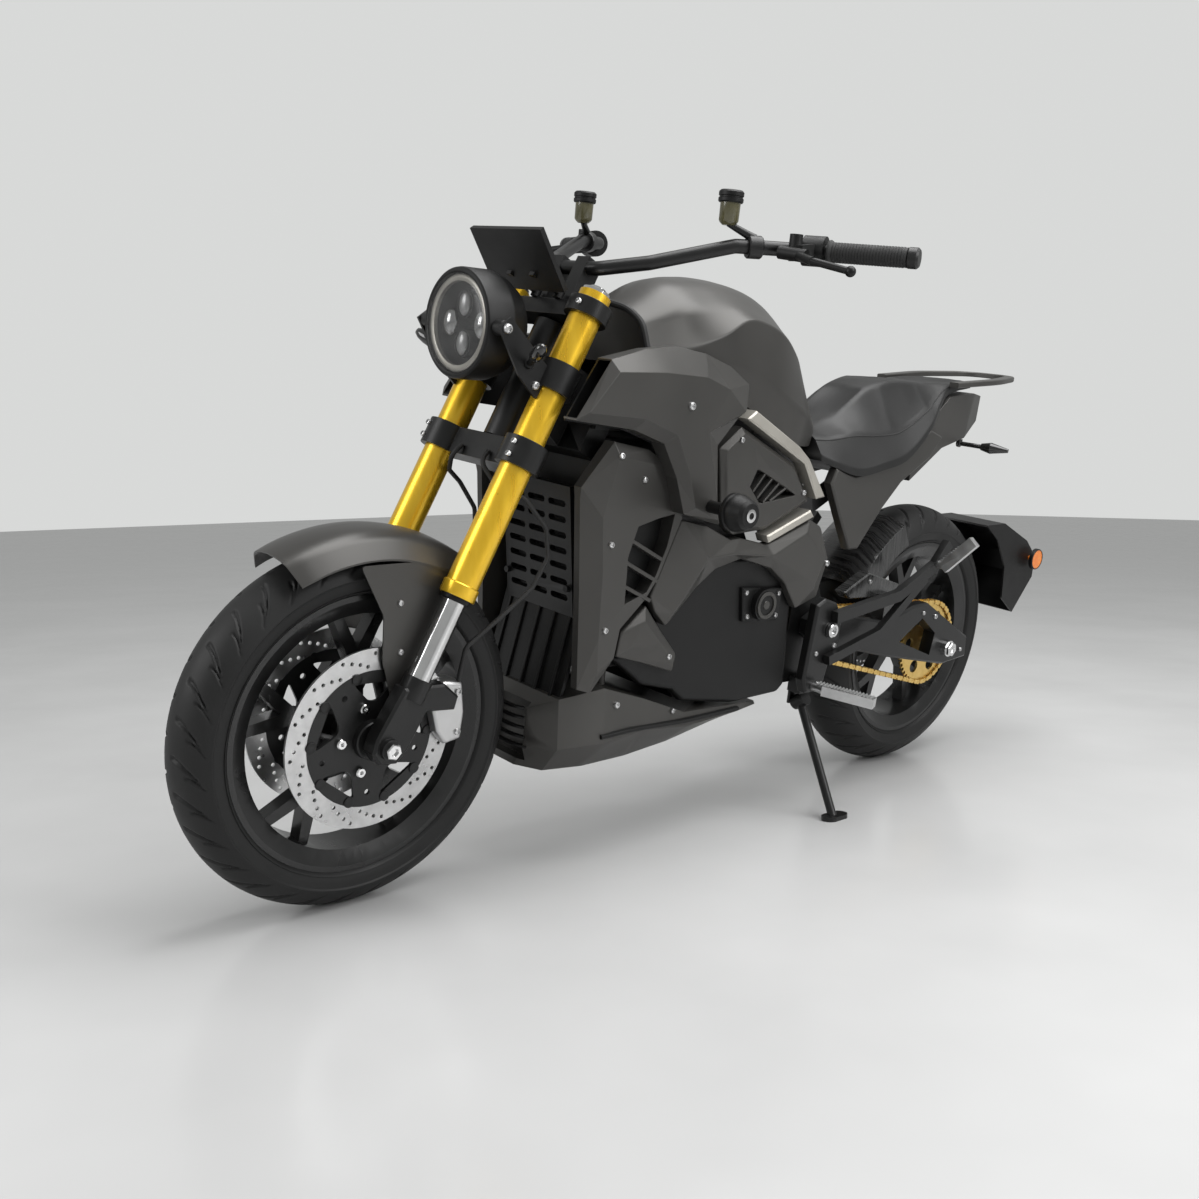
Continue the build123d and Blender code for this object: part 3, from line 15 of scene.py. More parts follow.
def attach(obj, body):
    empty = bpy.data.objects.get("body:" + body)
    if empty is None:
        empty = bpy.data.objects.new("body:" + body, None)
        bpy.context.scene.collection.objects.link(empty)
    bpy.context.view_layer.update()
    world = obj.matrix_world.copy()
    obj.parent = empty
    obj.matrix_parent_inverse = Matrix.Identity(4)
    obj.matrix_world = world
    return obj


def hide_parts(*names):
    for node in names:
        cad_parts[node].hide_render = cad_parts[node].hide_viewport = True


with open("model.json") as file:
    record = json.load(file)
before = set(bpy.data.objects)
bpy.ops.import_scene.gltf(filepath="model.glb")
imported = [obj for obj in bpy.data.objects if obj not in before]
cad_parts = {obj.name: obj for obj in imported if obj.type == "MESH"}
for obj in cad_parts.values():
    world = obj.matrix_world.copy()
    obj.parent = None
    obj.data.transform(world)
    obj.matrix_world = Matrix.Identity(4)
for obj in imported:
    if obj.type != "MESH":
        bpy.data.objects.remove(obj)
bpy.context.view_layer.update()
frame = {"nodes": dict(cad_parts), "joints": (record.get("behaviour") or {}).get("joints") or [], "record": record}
nodes = frame["nodes"]
print("solids in the frame:", len(nodes))

# %% [markdown]
# ## Working upright
# The machine leans on its side stand, so nothing on it is level. Modelling is easier upright,
# in the machine's own millimetres: X to the rider's left, Y backwards from midway between the
# axles, Z up. The front wheel's joint gives both the lean and the place, so one matrix takes
# upright points into the frame, and a change in the engineering model carries through.

# %% From upright millimetres to the frame
joints = {joint["name"]: joint for joint in frame["joints"]}
FRONT_AXLE = Vector((0, -750, 300))
REAR_AXLE = Vector((0, 750, 312))
hub = Vector(joints["front_spin"]["pos_m"])
wheel_axis = Vector(joints["front_spin"]["axis"])
LEAN = math.atan2(-wheel_axis.z, wheel_axis.x)
PLACE = (
    Matrix.Translation(hub)
    @ Matrix.Rotation(LEAN, 4, "Y")
    @ Matrix.Scale(0.001, 4)
    @ Matrix.Translation(-FRONT_AXLE)
)
print("lean in degrees:", round(math.degrees(LEAN), 2))

# %% [markdown]
# ## Camera, floor and light
# The photograph was taken from the front left at chest height with a wide phone lens. The
# camera is placed from the front hub, turned 47.8 degrees, tipped down 6.1 and rolled by less
# than half a degree. The hall round the machine is pale polished stone, so the floor here is
# plain, pale and slightly glossy, and the lamps are broad and soft.

# %% Camera
CAMERA_FROM_HUB = Vector((1.73059, -1.0196, 0.41317))
TURN, TIP, ROLL = math.radians(47.80), math.radians(6.108), math.radians(-0.411)
LENS, SENSOR = 37.147, 36.0

ahead = Vector((-math.sin(TURN) * math.cos(TIP), math.cos(TURN) * math.cos(TIP), -math.sin(TIP)))
level = Vector((math.cos(TURN), math.sin(TURN), 0))
up = level.cross(ahead)
across = level * math.cos(ROLL) + up * math.sin(ROLL)
upward = up * math.cos(ROLL) - level * math.sin(ROLL)
facing = Matrix((across, upward, -ahead)).transposed().to_4x4()
camera_data = bpy.data.cameras.new("portrait_camera")
camera_data.lens, camera_data.sensor_width = LENS, SENSOR
camera = bpy.data.objects.new("portrait_camera", camera_data)
camera.matrix_world = Matrix.Translation(hub + CAMERA_FROM_HUB) @ facing
bpy.context.collection.objects.link(camera)
bpy.context.scene.camera = camera
bpy.context.scene.view_settings.view_transform = "Standard"
print("camera at", [round(value, 3) for value in camera.location])


# %% [markdown]
# ## A workshop for finishes
# Every finish is a small tree of nodes. Most share one recipe: a base colour that drifts a
# little with a cloudy noise, a roughness that drifts with it, and a fine bump for the grain.
# Writing the recipe once keeps each finish down to the numbers that make it different. All
# patterns read object coordinates, which are metres on the machine itself.

# %% The shared recipe
def input_of(node, name, value):
    node.inputs[name].default_value = value


def finish(
    name, dark, light, rough, metal=0.0, cloud=9.0, grain=900.0, bump=0.05, coat=0.0, stretch=(1, 1, 1),
    shine=0.5,
):
    """A finish whose colour drifts between two tones, with a grain in its bump."""
    material = bpy.data.materials.new(name)
    material.use_nodes = True
    tree = material.node_tree
    shader = tree.nodes["Principled BSDF"]
    input_of(shader, "Metallic", metal)
    input_of(shader, "Coat Weight", coat)
    input_of(shader, "Coat Roughness", 0.12)
    input_of(shader, "Specular IOR Level", shine)
    place = tree.nodes.new("ShaderNodeTexCoord")
    mapping = tree.nodes.new("ShaderNodeMapping")
    input_of(mapping, "Scale", stretch)
    tree.links.new(place.outputs["Object"], mapping.inputs["Vector"])

    def noise(scale, detail):
        node = tree.nodes.new("ShaderNodeTexNoise")
        input_of(node, "Scale", scale)
        input_of(node, "Detail", detail)
        tree.links.new(mapping.outputs["Vector"], node.inputs["Vector"])
        return node.outputs["Fac"]

    drift = noise(cloud, 4)
    tones = tree.nodes.new("ShaderNodeValToRGB")
    for stop, tone, position in zip(tones.color_ramp.elements, (dark, light), (0.3, 0.7)):
        stop.color, stop.position = (*tone, 1), position
    tree.links.new(drift, tones.inputs["Fac"])
    tree.links.new(tones.outputs["Color"], shader.inputs["Base Color"])
    sheen = tree.nodes.new("ShaderNodeMapRange")
    for socket, value in (
        ("From Min", 0.3), ("From Max", 0.7), ("To Min", rough * 0.85), ("To Max", rough * 1.15),
    ):
        input_of(sheen, socket, value)
    tree.links.new(drift, sheen.inputs["Value"])
    tree.links.new(sheen.outputs["Result"], shader.inputs["Roughness"])
    if bump:
        relief = tree.nodes.new("ShaderNodeBump")
        input_of(relief, "Strength", bump)
        input_of(relief, "Distance", 0.0004)
        tree.links.new(noise(grain, 2), relief.inputs["Height"])
        tree.links.new(relief.outputs["Normal"], shader.inputs["Normal"])
    return material


def grey(tone, warmth=1.0):
    return (tone * warmth, tone, tone / warmth)


# %% The finishes
FINISHES = {
    "tyre_rubber": finish(
        "tyre_rubber", grey(0.008), grey(0.013), 0.56, cloud=14, grain=700, bump=0.25, shine=0.35,
    ),
    "wheel_black": finish("wheel_black", grey(0.004), grey(0.008), 0.3, cloud=12, coat=0.2, shine=0.4),
    "disc_steel": finish("disc_steel", grey(0.42), grey(0.6), 0.3, metal=1, cloud=30, grain=240, bump=0.1),
    "caliper_silver": finish("caliper_silver", grey(0.5), grey(0.62), 0.34, metal=0.9, grain=1500, bump=0.12),
    "gold_anodised": finish(
        "gold_anodised", (0.84, 0.5, 0.02), (0.92, 0.58, 0.035), 0.3, metal=0.7, coat=0.3, stretch=(6, 6, 1),
    ),
    "polished_steel": finish("polished_steel", grey(0.6), grey(0.72), 0.14, metal=1, cloud=20),
    "gold_chain": finish("gold_chain", (0.72, 0.48, 0.14), (0.84, 0.6, 0.22), 0.34, metal=1, cloud=60),
    "black_metal": finish(
        "black_metal", grey(0.005), grey(0.01), 0.36, shine=0.4, cloud=20, grain=1400, bump=0.12,
    ),
    "peg_silver": finish("peg_silver", grey(0.5), grey(0.65), 0.35, metal=1, cloud=40, grain=600, bump=0.2),
    "graphite_panel": finish(
        "graphite_panel", (0.058, 0.056, 0.053), (0.068, 0.066, 0.062), 0.36, metal=0.45, cloud=5, grain=2600,
        bump=0.04,
    ),
    "black_plastic": finish(
        "black_plastic", grey(0.0035), grey(0.007), 0.46, shine=0.3, cloud=16, grain=1600, bump=0.3,
    ),
    "pale_strip": finish("pale_strip", (0.42, 0.4, 0.36), (0.5, 0.48, 0.43), 0.36, metal=0.6, cloud=10),
    "seat_cover": finish(
        "seat_cover", grey(0.008), grey(0.013), 0.46, shine=0.4, cloud=10, grain=500, bump=0.5,
    ),
    "carbon_weave": finish(
        "carbon_weave", grey(0.004), grey(0.045), 0.28, cloud=34, coat=0.5, stretch=(0.3, 6, 0.3),
    ),
    "grip_rubber": finish("grip_rubber", grey(0.01), grey(0.016), 0.66, cloud=30, grain=900, bump=0.3),
    "lens_clear": finish("lens_clear", grey(0.12), grey(0.2), 0.12, cloud=30, coat=0.8),
    "lens_smoked": finish("lens_smoked", grey(0.008), grey(0.014), 0.12, cloud=20, coat=0.7),
    "lens_red": finish("lens_red", (0.2, 0.005, 0.005), (0.3, 0.012, 0.01), 0.14, cloud=20, coat=0.8),
    "reflector_amber": finish(
        "reflector_amber", (0.75, 0.17, 0.01), (0.9, 0.26, 0.02), 0.2, cloud=60, coat=0.6,
    ),
    "reservoir_olive": finish(
        "reservoir_olive", (0.07, 0.065, 0.03), (0.11, 0.1, 0.05), 0.2, cloud=40, coat=0.5,
    ),
}
# The headlight's front is clear, so only a little of its colour stays
for node in FINISHES["lens_clear"].node_tree.nodes:
    if node.type == "BSDF_PRINCIPLED":
        node.inputs["Alpha"].default_value = 0.14
print("finishes:", len(FINISHES))

# %% [markdown]
# ## Finishes on every solid
# The record says which finish each solid is meant to have, so a loop dresses all of them. The
# pieces made later take their finish from the same table.

# %% Dress the frame's solids
slot_of = {part["node"]: part["material_slot"] for part in frame["record"]["subparts"]}
for name, solid in nodes.items():
    for holder in solid.material_slots:
        holder.material = FINISHES[slot_of[name]]
print("dressed:", len(slot_of))

# %% [markdown]
# ## The stage
# A broad plane stands for the polished stone, pale grey and glossy enough to mirror the wheels
# faintly. The world is white for the camera, and softer as a light and in reflections.

# %% Floor
FLOOR_HALF = 14.0
floor_mesh = bpy.data.meshes.new("floor")
floor_mesh.from_pydata(
    [
        (-FLOOR_HALF, -FLOOR_HALF, 0), (FLOOR_HALF, -FLOOR_HALF, 0), (FLOOR_HALF, FLOOR_HALF, 0),
        (-FLOOR_HALF, FLOOR_HALF, 0),
    ],
    [], [(0, 1, 2, 3)],
)
floor = bpy.data.objects.new("floor", floor_mesh)
bpy.context.collection.objects.link(floor)
floor_mesh.materials.append(finish("pale_stone", grey(0.5), grey(0.58), 0.22, cloud=1.2, grain=4, bump=0.0))


# %% Lamps and world
def softbox(name, place, aim, size, power):
    """A broad square lamp that faces a point."""
    lamp = bpy.data.lights.new(name, "AREA")
    lamp.size, lamp.energy = size, power
    box = bpy.data.objects.new(name, lamp)
    box.matrix_world = Matrix.Translation(place) @ (Vector(place) - Vector(aim)).to_track_quat(
        "Z", "Y",
    ).to_matrix().to_4x4()
    bpy.context.collection.objects.link(box)


softbox("overhead", (0.8, 0.4, 3.6), (0, 0, 0.7), 3.0, 150)
softbox("window", (4.2, 1.2, 2.6), (0, 0, 0.6), 2.2, 90)
softbox("front", (-1.5, -4.8, 2.6), (0, 0, 0.6), 2.5, 90)

world = bpy.data.worlds.new("hall")
bpy.context.scene.world = world
world.use_nodes = True
air = world.node_tree
rays = air.nodes.new("ShaderNodeLightPath")
power = air.nodes.new("ShaderNodeMapRange")
input_of(power, "To Min", 0.5)
input_of(power, "To Max", 0.8)
air.links.new(rays.outputs["Is Camera Ray"], power.inputs["Value"])
input_of(air.nodes["Background"], "Color", (0.86, 0.87, 0.86, 1))
air.links.new(power.outputs["Result"], air.nodes["Background"].inputs["Strength"])
print("lamps:", len(bpy.data.lights))

# %% [markdown]
# ## Tools for pieces
# A few helpers carry the rest of the lesson. One turns points and faces in upright millimetres
# into an object in the frame. One declares what a piece stands for, which body carries it and
# which finish it takes. One cleans a mesh up, step by step. One borrows an engineering solid,
# welds its loose triangles back into flat faces and rounds its edges, because a real casting or
# moulding never has a knife edge, and a small radius is what catches the light.

# %% Helpers
body_of = {name: body for body, members in frame["record"]["behaviour"]["bodies"].items() for name in members}


def object_from(name, mesh):
    """Links a mesh as an object at the origin."""
    made = bpy.data.objects.new(name, mesh)
    bpy.context.collection.objects.link(made)
    return made


def gathered(groups):
    """Several lists of points and faces as one."""
    points, faces = [], []
    for group_points, group_faces in groups:
        faces += [tuple(len(points) + k for k in face) for face in group_faces]
        points += group_points
    return points, faces


def merged(name, groups, place=PLACE):
    """One object from several lists of points and faces, in upright millimetres."""
    points, faces = gathered(groups)
    mesh = bpy.data.meshes.new(name)
    mesh.from_pydata([place @ Vector(point) for point in points], [], faces)
    return object_from(name, mesh)


def declare(made, body, slot, stands_for=(), sharp=35):
    """Gives a piece its finish, its smooth shading, its body and the solids it replaces."""
    if not made.data.materials:
        made.data.materials.append(FINISHES[slot])
    made.data.shade_smooth()
    made.data.set_sharp_from_angle(angle=math.radians(sharp))
    if stands_for:
        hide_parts(*stands_for)
    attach(made, body)
    return made


def round_edges(made, width, segments=3, angle=20):
    """A live bevel in millimetres whose faces keep the flat look of the sides."""
    bevel = made.modifiers.new("rounding", "BEVEL")
    bevel.width, bevel.segments, bevel.harden_normals = width / 1000, segments, True
    bevel.limit_method, bevel.angle_limit = "ANGLE", math.radians(angle)
    return made


def rebuild(mesh, *steps):
    """Runs clean-up steps on a mesh, in their order."""
    builder = bmesh.new()
    builder.from_mesh(mesh)
    for step in steps:
        step(builder)
    builder.to_mesh(mesh)
    builder.free()


def weld(distance):
    """A step that joins points closer than a distance in metres."""
    return lambda builder: bmesh.ops.remove_doubles(builder, verts=builder.verts, dist=distance)


def flatten(angle):
    """A step that joins neighbouring faces whose planes differ by less than an angle."""
    return lambda builder: bmesh.ops.dissolve_limit(
        builder, angle_limit=math.radians(angle), verts=builder.verts, edges=builder.edges
    )


def drop_loose(builder):
    """A step that deletes the points without a face."""
    bmesh.ops.delete(builder, geom=[v for v in builder.verts if not v.link_faces], context="VERTS")


def turn_out(builder):
    """A step that turns all faces outwards."""
    bmesh.ops.recalc_face_normals(builder, faces=builder.faces)


def soften(node, width, segments=3, angle=24):
    """A welded copy of an engineering solid with rounded edges that stands for it."""
    mesh = nodes[node].data.copy()
    mesh.name = node + "_fine"
    rebuild(mesh, weld(1e-5), flatten(0.5))
    made = object_from(node + "_fine", mesh)
    round_edges(made, width, segments, angle)
    return declare(made, body_of[node], slot_of[node], [node], sharp=40)


def facing_out(made):
    """Turns the faces outwards, and welds the points that fell together."""
    rebuild(made.data, weld(1e-6), turn_out)
    return made


def both_sides(points, faces):
    """The same points and faces again on the machine's right, turned to face outwards."""
    mirrored = [(-x, y, z) for x, y, z in points]
    flipped = [tuple(len(points) + index for index in reversed(face)) for face in faces]
    return list(points) + mirrored, list(faces) + flipped


print("bodies:", sorted(set(body_of.values())))

# %% [markdown]
# ## Tyres
# A road tyre is a shape that follows a rule: one cross section turned about the axle, with
# grooves that repeat round it. A fine grid over the crown is enough, if each point is pushed
# inwards wherever a groove crosses it. The grooves sweep back from near the middle and fade
# out at the shoulder, and the two sides are half a pitch apart, so the tyre rolls quietly.

# %% Tread and tyres
GROOVE_DEPTH, GROOVE_WIDTH, CROWN_REACH = 3.2, 6.4, 70
AROUND, ACROSS = 840, 60


def groove(turn, spread, pitches, pitch_length):
    """How deep the tread is cut at a turn from 0 to 1 and a spread from -1 to 1."""
    deepest = 0.0
    phase = turn * pitches + (0.5 if spread < 0 else 0.0)
    for start, stop, lag, bend, width in (
        (0.14, 0.8, 0.0, 0.62, GROOVE_WIDTH),
        (0.5, 0.9, 0.46, 0.4, GROOVE_WIDTH * 0.6),
    ):
        along = (abs(spread) - start) / (stop - start)
        if not -0.06 < along < 1.06:
            continue
        centre = lag + bend * max(along, 0) ** 1.7
        offset = abs((phase - centre + 0.5) % 1 - 0.5) * pitch_length
        half = width / 2 * (1.15 - 0.65 * along)
        fade = min(1, (1.06 - along) * 5, (along + 0.06) * 9)
        deepest = max(deepest, GROOVE_DEPTH * fade * min(1, max(0, (half - offset) / 1.3 + 0.6)))
    return deepest


def tyre(name, axle, radius, crown, bead, pitches):
    """A treaded tyre on its rim, as a ring of cross sections."""
    reach = math.radians(CROWN_REACH)
    shoulder = (crown * math.sin(reach), radius - crown + crown * math.cos(reach))
    wall = [
        (0.04, 1.2), (0.1, 1.8), (0.14, 0.4), (0.2, 0.2), (0.45, 2.6), (0.7, 1.8), (0.8, 1.9), (0.82, 3.6),
        (0.9, 3.4), (0.93, 0.6),
    ]
    side = [
        (shoulder[0] + (bead - shoulder[0]) * share + bulge, shoulder[1] + (231.4 - shoulder[1]) * share)
        for share, bulge in wall
    ] + [(bead, 231.4)]
    left = [(-x, r) for x, r in reversed(side)]
    section_size = len(left) + ACROSS + 1 + len(side)
    points, faces = [], []
    pitch_length = 2 * math.pi * radius / pitches
    for step in range(AROUND):
        turn = step / AROUND
        section = list(left)
        for column in range(ACROSS + 1):
            spread = 2 * column / ACROSS - 1
            depth = groove(turn, spread, pitches, pitch_length)
            bend = spread * reach
            section.append((
                (crown - depth) * math.sin(bend), radius - crown + (crown - depth) * math.cos(bend),
            ))
        section += side
        cosine, sine = math.cos(turn * 2 * math.pi), math.sin(turn * 2 * math.pi)
        points += [(x, axle.y + r * cosine, axle.z + r * sine) for x, r in section]
        base, following = step * section_size, (step + 1) % AROUND * section_size
        for k in range(section_size):
            nxt = (k + 1) % section_size
            faces.append((base + k, base + nxt, following + nxt, following + k))
    made = merged(name, [(points, faces)])
    rebuild(made.data, turn_out)
    return made


declare(
    tyre("front_tyre_treaded", FRONT_AXLE, 300, 60, 46, 32), "front_wheel", "tyre_rubber", ["front_tyre"],
    sharp=60,
)
declare(
    tyre("rear_tyre_treaded", REAR_AXLE, 312, 78, 60, 32), "rear_wheel", "tyre_rubber", ["rear_tyre"],
    sharp=60,
)
print("tyre rows:", AROUND, "by", ACROSS)

# %% [markdown]
# ## Cast wheels and hubs
# The engineering model already has the barrel, the forked spokes and the bored hub. A casting
# also has draft and fillets; the softened copy gives it only the fillets, and that is the whole job here.

# %% Wheels
for name in ("front_rim", "rear_rim"):
    soften(name, 3.0, segments=3, angle=22)

# %% [markdown]
# ## Perforated discs
# Each brake disc is a steel ring with two staggered rows of drilled holes, riveted to a black
# windowed carrier. The drilling is a pattern, so Geometry Nodes make it: a circle's points are
# moved in and out to two rows, a small circle sits on each, and one Fill Curve node cuts them
# all out of the ring at once. The holes have their numbers as inputs, so the small rear disc
# comes from the same tree as the two front ones.

# %% A tree for perforated rings
def nodes_tree(name, sockets):
    """An empty geometry tree with named inputs, and what builds it: a maker of nodes, a maker of
    sums, and an end that makes the result real and gives it its finish."""
    tree = bpy.data.node_groups.new(name, "GeometryNodeTree")
    tree.interface.new_socket("Geometry", in_out="OUTPUT", socket_type="NodeSocketGeometry")
    tree.interface.new_socket("Geometry", in_out="INPUT", socket_type="NodeSocketGeometry")
    for label, kind in sockets:
        tree.interface.new_socket(label, in_out="INPUT", socket_type="NodeSocket" + kind)
    start, end = tree.nodes.new("NodeGroupInput"), tree.nodes.new("NodeGroupOutput")

    def put(kind, links=(), settings=(), **values):
        node = tree.nodes.new(kind)
        for key, value in settings:
            setattr(node, key, value)
        for key, value in values.items():
            node.inputs[key.replace("_", " ")].default_value = value
        for key, source in links:
            tree.links.new(source, node.inputs[key])
        return node

    def maths(operation, *terms):
        node = tree.nodes.new("ShaderNodeMath")
        node.operation = operation
        for socket, term in zip(node.inputs, terms):
            if isinstance(term, (int, float)):
                socket.default_value = term
            else:
                tree.links.new(term, socket)
        return node.outputs[0]

    def close(result):
        plain = put("GeometryNodeRealizeInstances", [(0, result)])
        finish_of = start.outputs["Finish"]
        painted = put("GeometryNodeSetMaterial", [(0, plain.outputs[0]), ("Material", finish_of)])
        tree.links.new(painted.outputs[0], end.inputs[0])

    return tree, start.outputs, put, maths, close


def run_tree(made, tree, values):
    """Runs a tree on an object with the given inputs and keeps the result as a plain mesh."""
    modifier = made.modifiers.new("rule", "NODES")
    modifier.node_group = tree
    for item in tree.interface.items_tree:
        if item.item_type == "SOCKET" and item.in_out == "INPUT" and item.name in values:
            modifier[item.identifier] = values[item.name]
    graph = bpy.context.evaluated_depsgraph_get()
    mesh = bpy.data.meshes.new_from_object(made.evaluated_get(graph))
    made.modifiers.remove(modifier)
    made.data = mesh
    return made


ring_tree, ring_in, put, maths, close = nodes_tree(
    "perforated_ring",
    [
        ("Outer", "Float"), ("Inner", "Float"), ("Hole", "Float"), ("Row gap", "Float"), ("Count", "Int"),
        ("Thickness", "Float"), ("Finish", "Material"),
    ],
)
middle = maths("MULTIPLY", maths("ADD", ring_in["Outer"], ring_in["Inner"]), 0.5)
dots = put("GeometryNodeMeshCircle", [("Vertices", ring_in["Count"]), ("Radius", middle)])
index = put("GeometryNodeInputIndex")
parity = maths("MODULO", index.outputs[0], 4)
wave = put("GeometryNodeInputPosition")
rows = put("ShaderNodeMapRange", [("Value", parity)], From_Min=0, From_Max=3, To_Min=-1, To_Max=1)
shift = maths("MULTIPLY", rows.outputs["Result"], ring_in["Row gap"])
outward = put("ShaderNodeVectorMath", [(0, wave.outputs[0])], [("operation", "NORMALIZE")])
offset = put("ShaderNodeVectorMath", [(0, outward.outputs[0]), ("Scale", shift)], [("operation", "SCALE")])
moved = put("GeometryNodeSetPosition", [("Geometry", dots.outputs["Mesh"]), ("Offset", offset.outputs[0])])
drill = put("GeometryNodeCurvePrimitiveCircle", [("Radius", ring_in["Hole"])], Resolution=10)
drilled = put("GeometryNodeInstanceOnPoints", [("Points", moved.outputs[0]), ("Instance", drill.outputs[0])])
real = put("GeometryNodeRealizeInstances", [(0, drilled.outputs[0])])
rim_circle = put("GeometryNodeCurvePrimitiveCircle", [("Radius", ring_in["Outer"])], Resolution=120)
bore_circle = put("GeometryNodeCurvePrimitiveCircle", [("Radius", ring_in["Inner"])], Resolution=96)
joined = put("GeometryNodeJoinGeometry")
for source in (rim_circle.outputs[0], bore_circle.outputs[0], real.outputs[0]):
    ring_tree.links.new(source, joined.inputs[0])
filled = put("GeometryNodeFillCurve", [(0, joined.outputs[0])])
thick = put(
    "GeometryNodeExtrudeMesh", [("Mesh", filled.outputs[0]), ("Offset Scale", ring_in["Thickness"])],
    Individual=False,
)
back = put("GeometryNodeFlipFaces", [(0, filled.outputs[0])])
closed = put("GeometryNodeJoinGeometry")
ring_tree.links.new(thick.outputs["Mesh"], closed.inputs[0])
ring_tree.links.new(back.outputs[0], closed.inputs[0])
welded = put("GeometryNodeMergeByDistance", [(0, closed.outputs[0])], Distance=0.01)
close(welded.outputs[0])


def standing(axle, x):
    """Takes a flat pattern in XY to a wheel's side view at a distance to the left."""
    turn = Matrix(((0, 0, 1, x), (1, 0, 0, axle.y), (0, 1, 0, axle.z), (0, 0, 0, 1)))
    return PLACE @ turn


def perforated(name, axle, x, outer, inner, hole, gap, count, thickness, slot):
    """A drilled ring round an axle, at a distance to the left."""
    made = object_from(name, bpy.data.meshes.new(name))
    run_tree(
        made, ring_tree,
        {
            "Outer": outer, "Inner": inner, "Hole": hole, "Row gap": gap, "Count": count,
            "Thickness": thickness, "Finish": FINISHES[slot],
        },
    )
    made.data.transform(standing(axle, x))
    return made


def join(name, parts):
    """Several objects as one mesh."""
    builder = bmesh.new()
    mesh = bpy.data.meshes.new(name)
    for material in parts[0].data.materials:
        mesh.materials.append(material)
    for part in parts:
        builder.from_mesh(part.data)
        bpy.data.objects.remove(part)
    builder.to_mesh(mesh)
    builder.free()
    return object_from(name, mesh)


DISC_X, REAR_DISC_X, DISC_THICK = 65.0, -94.25, 4.5
front_rings = join("front_disc_rings", [
    perforated(
        "ring", FRONT_AXLE, side * DISC_X - DISC_THICK / 2, 149, 112, 3.3, 10, 60, DISC_THICK, "disc_steel",
    )
    for side in (-1, 1)
])
declare(front_rings, "front_wheel", "disc_steel", ["front_discs"])
rear_ring = perforated(
    "rear_disc_ring", REAR_AXLE, REAR_DISC_X - DISC_THICK / 2, 120, 88, 3.3, 9, 48, DISC_THICK, "disc_steel",
)
declare(rear_ring, "rear_wheel", "disc_steel", ["rear_disc"])
print("disc triangles:", len(front_rings.data.polygons))


# %% [markdown]
# ## Disc carriers
# The carrier is a black star that holds the steel ring by ten buttons, and five screws hold it
# to the hub. Its windows are rounded triangles. Such a flat plate with windows is easiest as
# outlines: one outer ring and a loop for each window, filled by a constrained triangulation and
# given a thickness.

# %% Flat plates with windows
def circle(radius, count, centre=(0, 0), start=0.0):
    """A closed outline of places on a circle."""
    return [
        (
            centre[0] + radius * math.cos(start + 2 * math.pi * k / count),
            centre[1] + radius * math.sin(start + 2 * math.pi * k / count),
        )
        for k in range(count)
    ]


def rounded(corners, radius, steps=4):
    """A closed outline whose corners are arcs of about this radius."""
    loop = []
    for k, corner in enumerate(corners):
        here = Vector(corner)
        before, after = Vector(corners[k - 1]), Vector(corners[(k + 1) % len(corners)])
        first = here + (before - here).normalized() * min(radius, (before - here).length * 0.45)
        last = here + (after - here).normalized() * min(radius, (after - here).length * 0.45)
        for step in range(steps + 1):
            share = step / steps
            loop.append(tuple(first.lerp(here, share).lerp(here.lerp(last, share), share)))
    return loop


def plate(outline, windows, low, high):
    """Points and faces of a flat plate between two heights, with its windows cut out."""
    flat, loops = [], []
    for loop in [outline, *windows]:
        loops.append(list(range(len(flat), len(flat) + len(loop))))
        flat += [Vector(point) for point in loop]
    corners, _, triangles, _, _, _ = delaunay_2d_cdt(flat, [], loops, 5 if windows else 1, 1e-4)
    count = len(corners)
    points = [(p.x, p.y, high) for p in corners] + [(p.x, p.y, low) for p in corners]
    faces = []
    edges = {}
    for face in triangles:
        around = [corners[k] for k in face]
        area = sum(p.cross(q) for p, q in zip(around, around[1:] + around[:1]))
        ordered = tuple(face) if area > 0 else tuple(reversed(face))
        faces += [ordered, tuple(count + k for k in reversed(ordered))]
        edges.update({edge: True for edge in zip(ordered, ordered[1:] + ordered[:1])})
    for first, second in edges:
        if (second, first) not in edges:
            faces.append((second, first, count + first, count + second))
    return points, faces


# %% Carriers, their buttons and their screws
CARRIER_TURN, BUTTON_CIRCLE, SCREW_CIRCLE = 0.3, 106, 55


def carrier(axle, x, outer, count, turn, thickness):
    """A black star with rounded triangular windows between its spokes, as points and faces."""
    windows = []
    for k in range(count):
        angle = turn + 2 * math.pi * k / count
        wide, narrow = math.pi / count * 0.62, math.pi / count * 0.2

        def at(radius, bend):
            return (radius * math.cos(angle + bend), radius * math.sin(angle + bend))

        windows.append(rounded(
            [
                at(outer - 13, -wide), at(outer - 13, wide), at(outer * 0.56, narrow),
                at(outer * 0.56, -narrow),
            ],
            9,
        ))
        middle = angle + math.pi / count
        windows.append(circle(5, 10, (math.cos(middle) * (outer - 24), math.sin(middle) * (outer - 24))))
    windows.append(circle(24, 28))
    flat, faces = plate(circle(outer, 90), windows, x - thickness / 2, x + thickness / 2)
    return [(h, axle.y + p, axle.z + q) for p, q, h in flat], faces


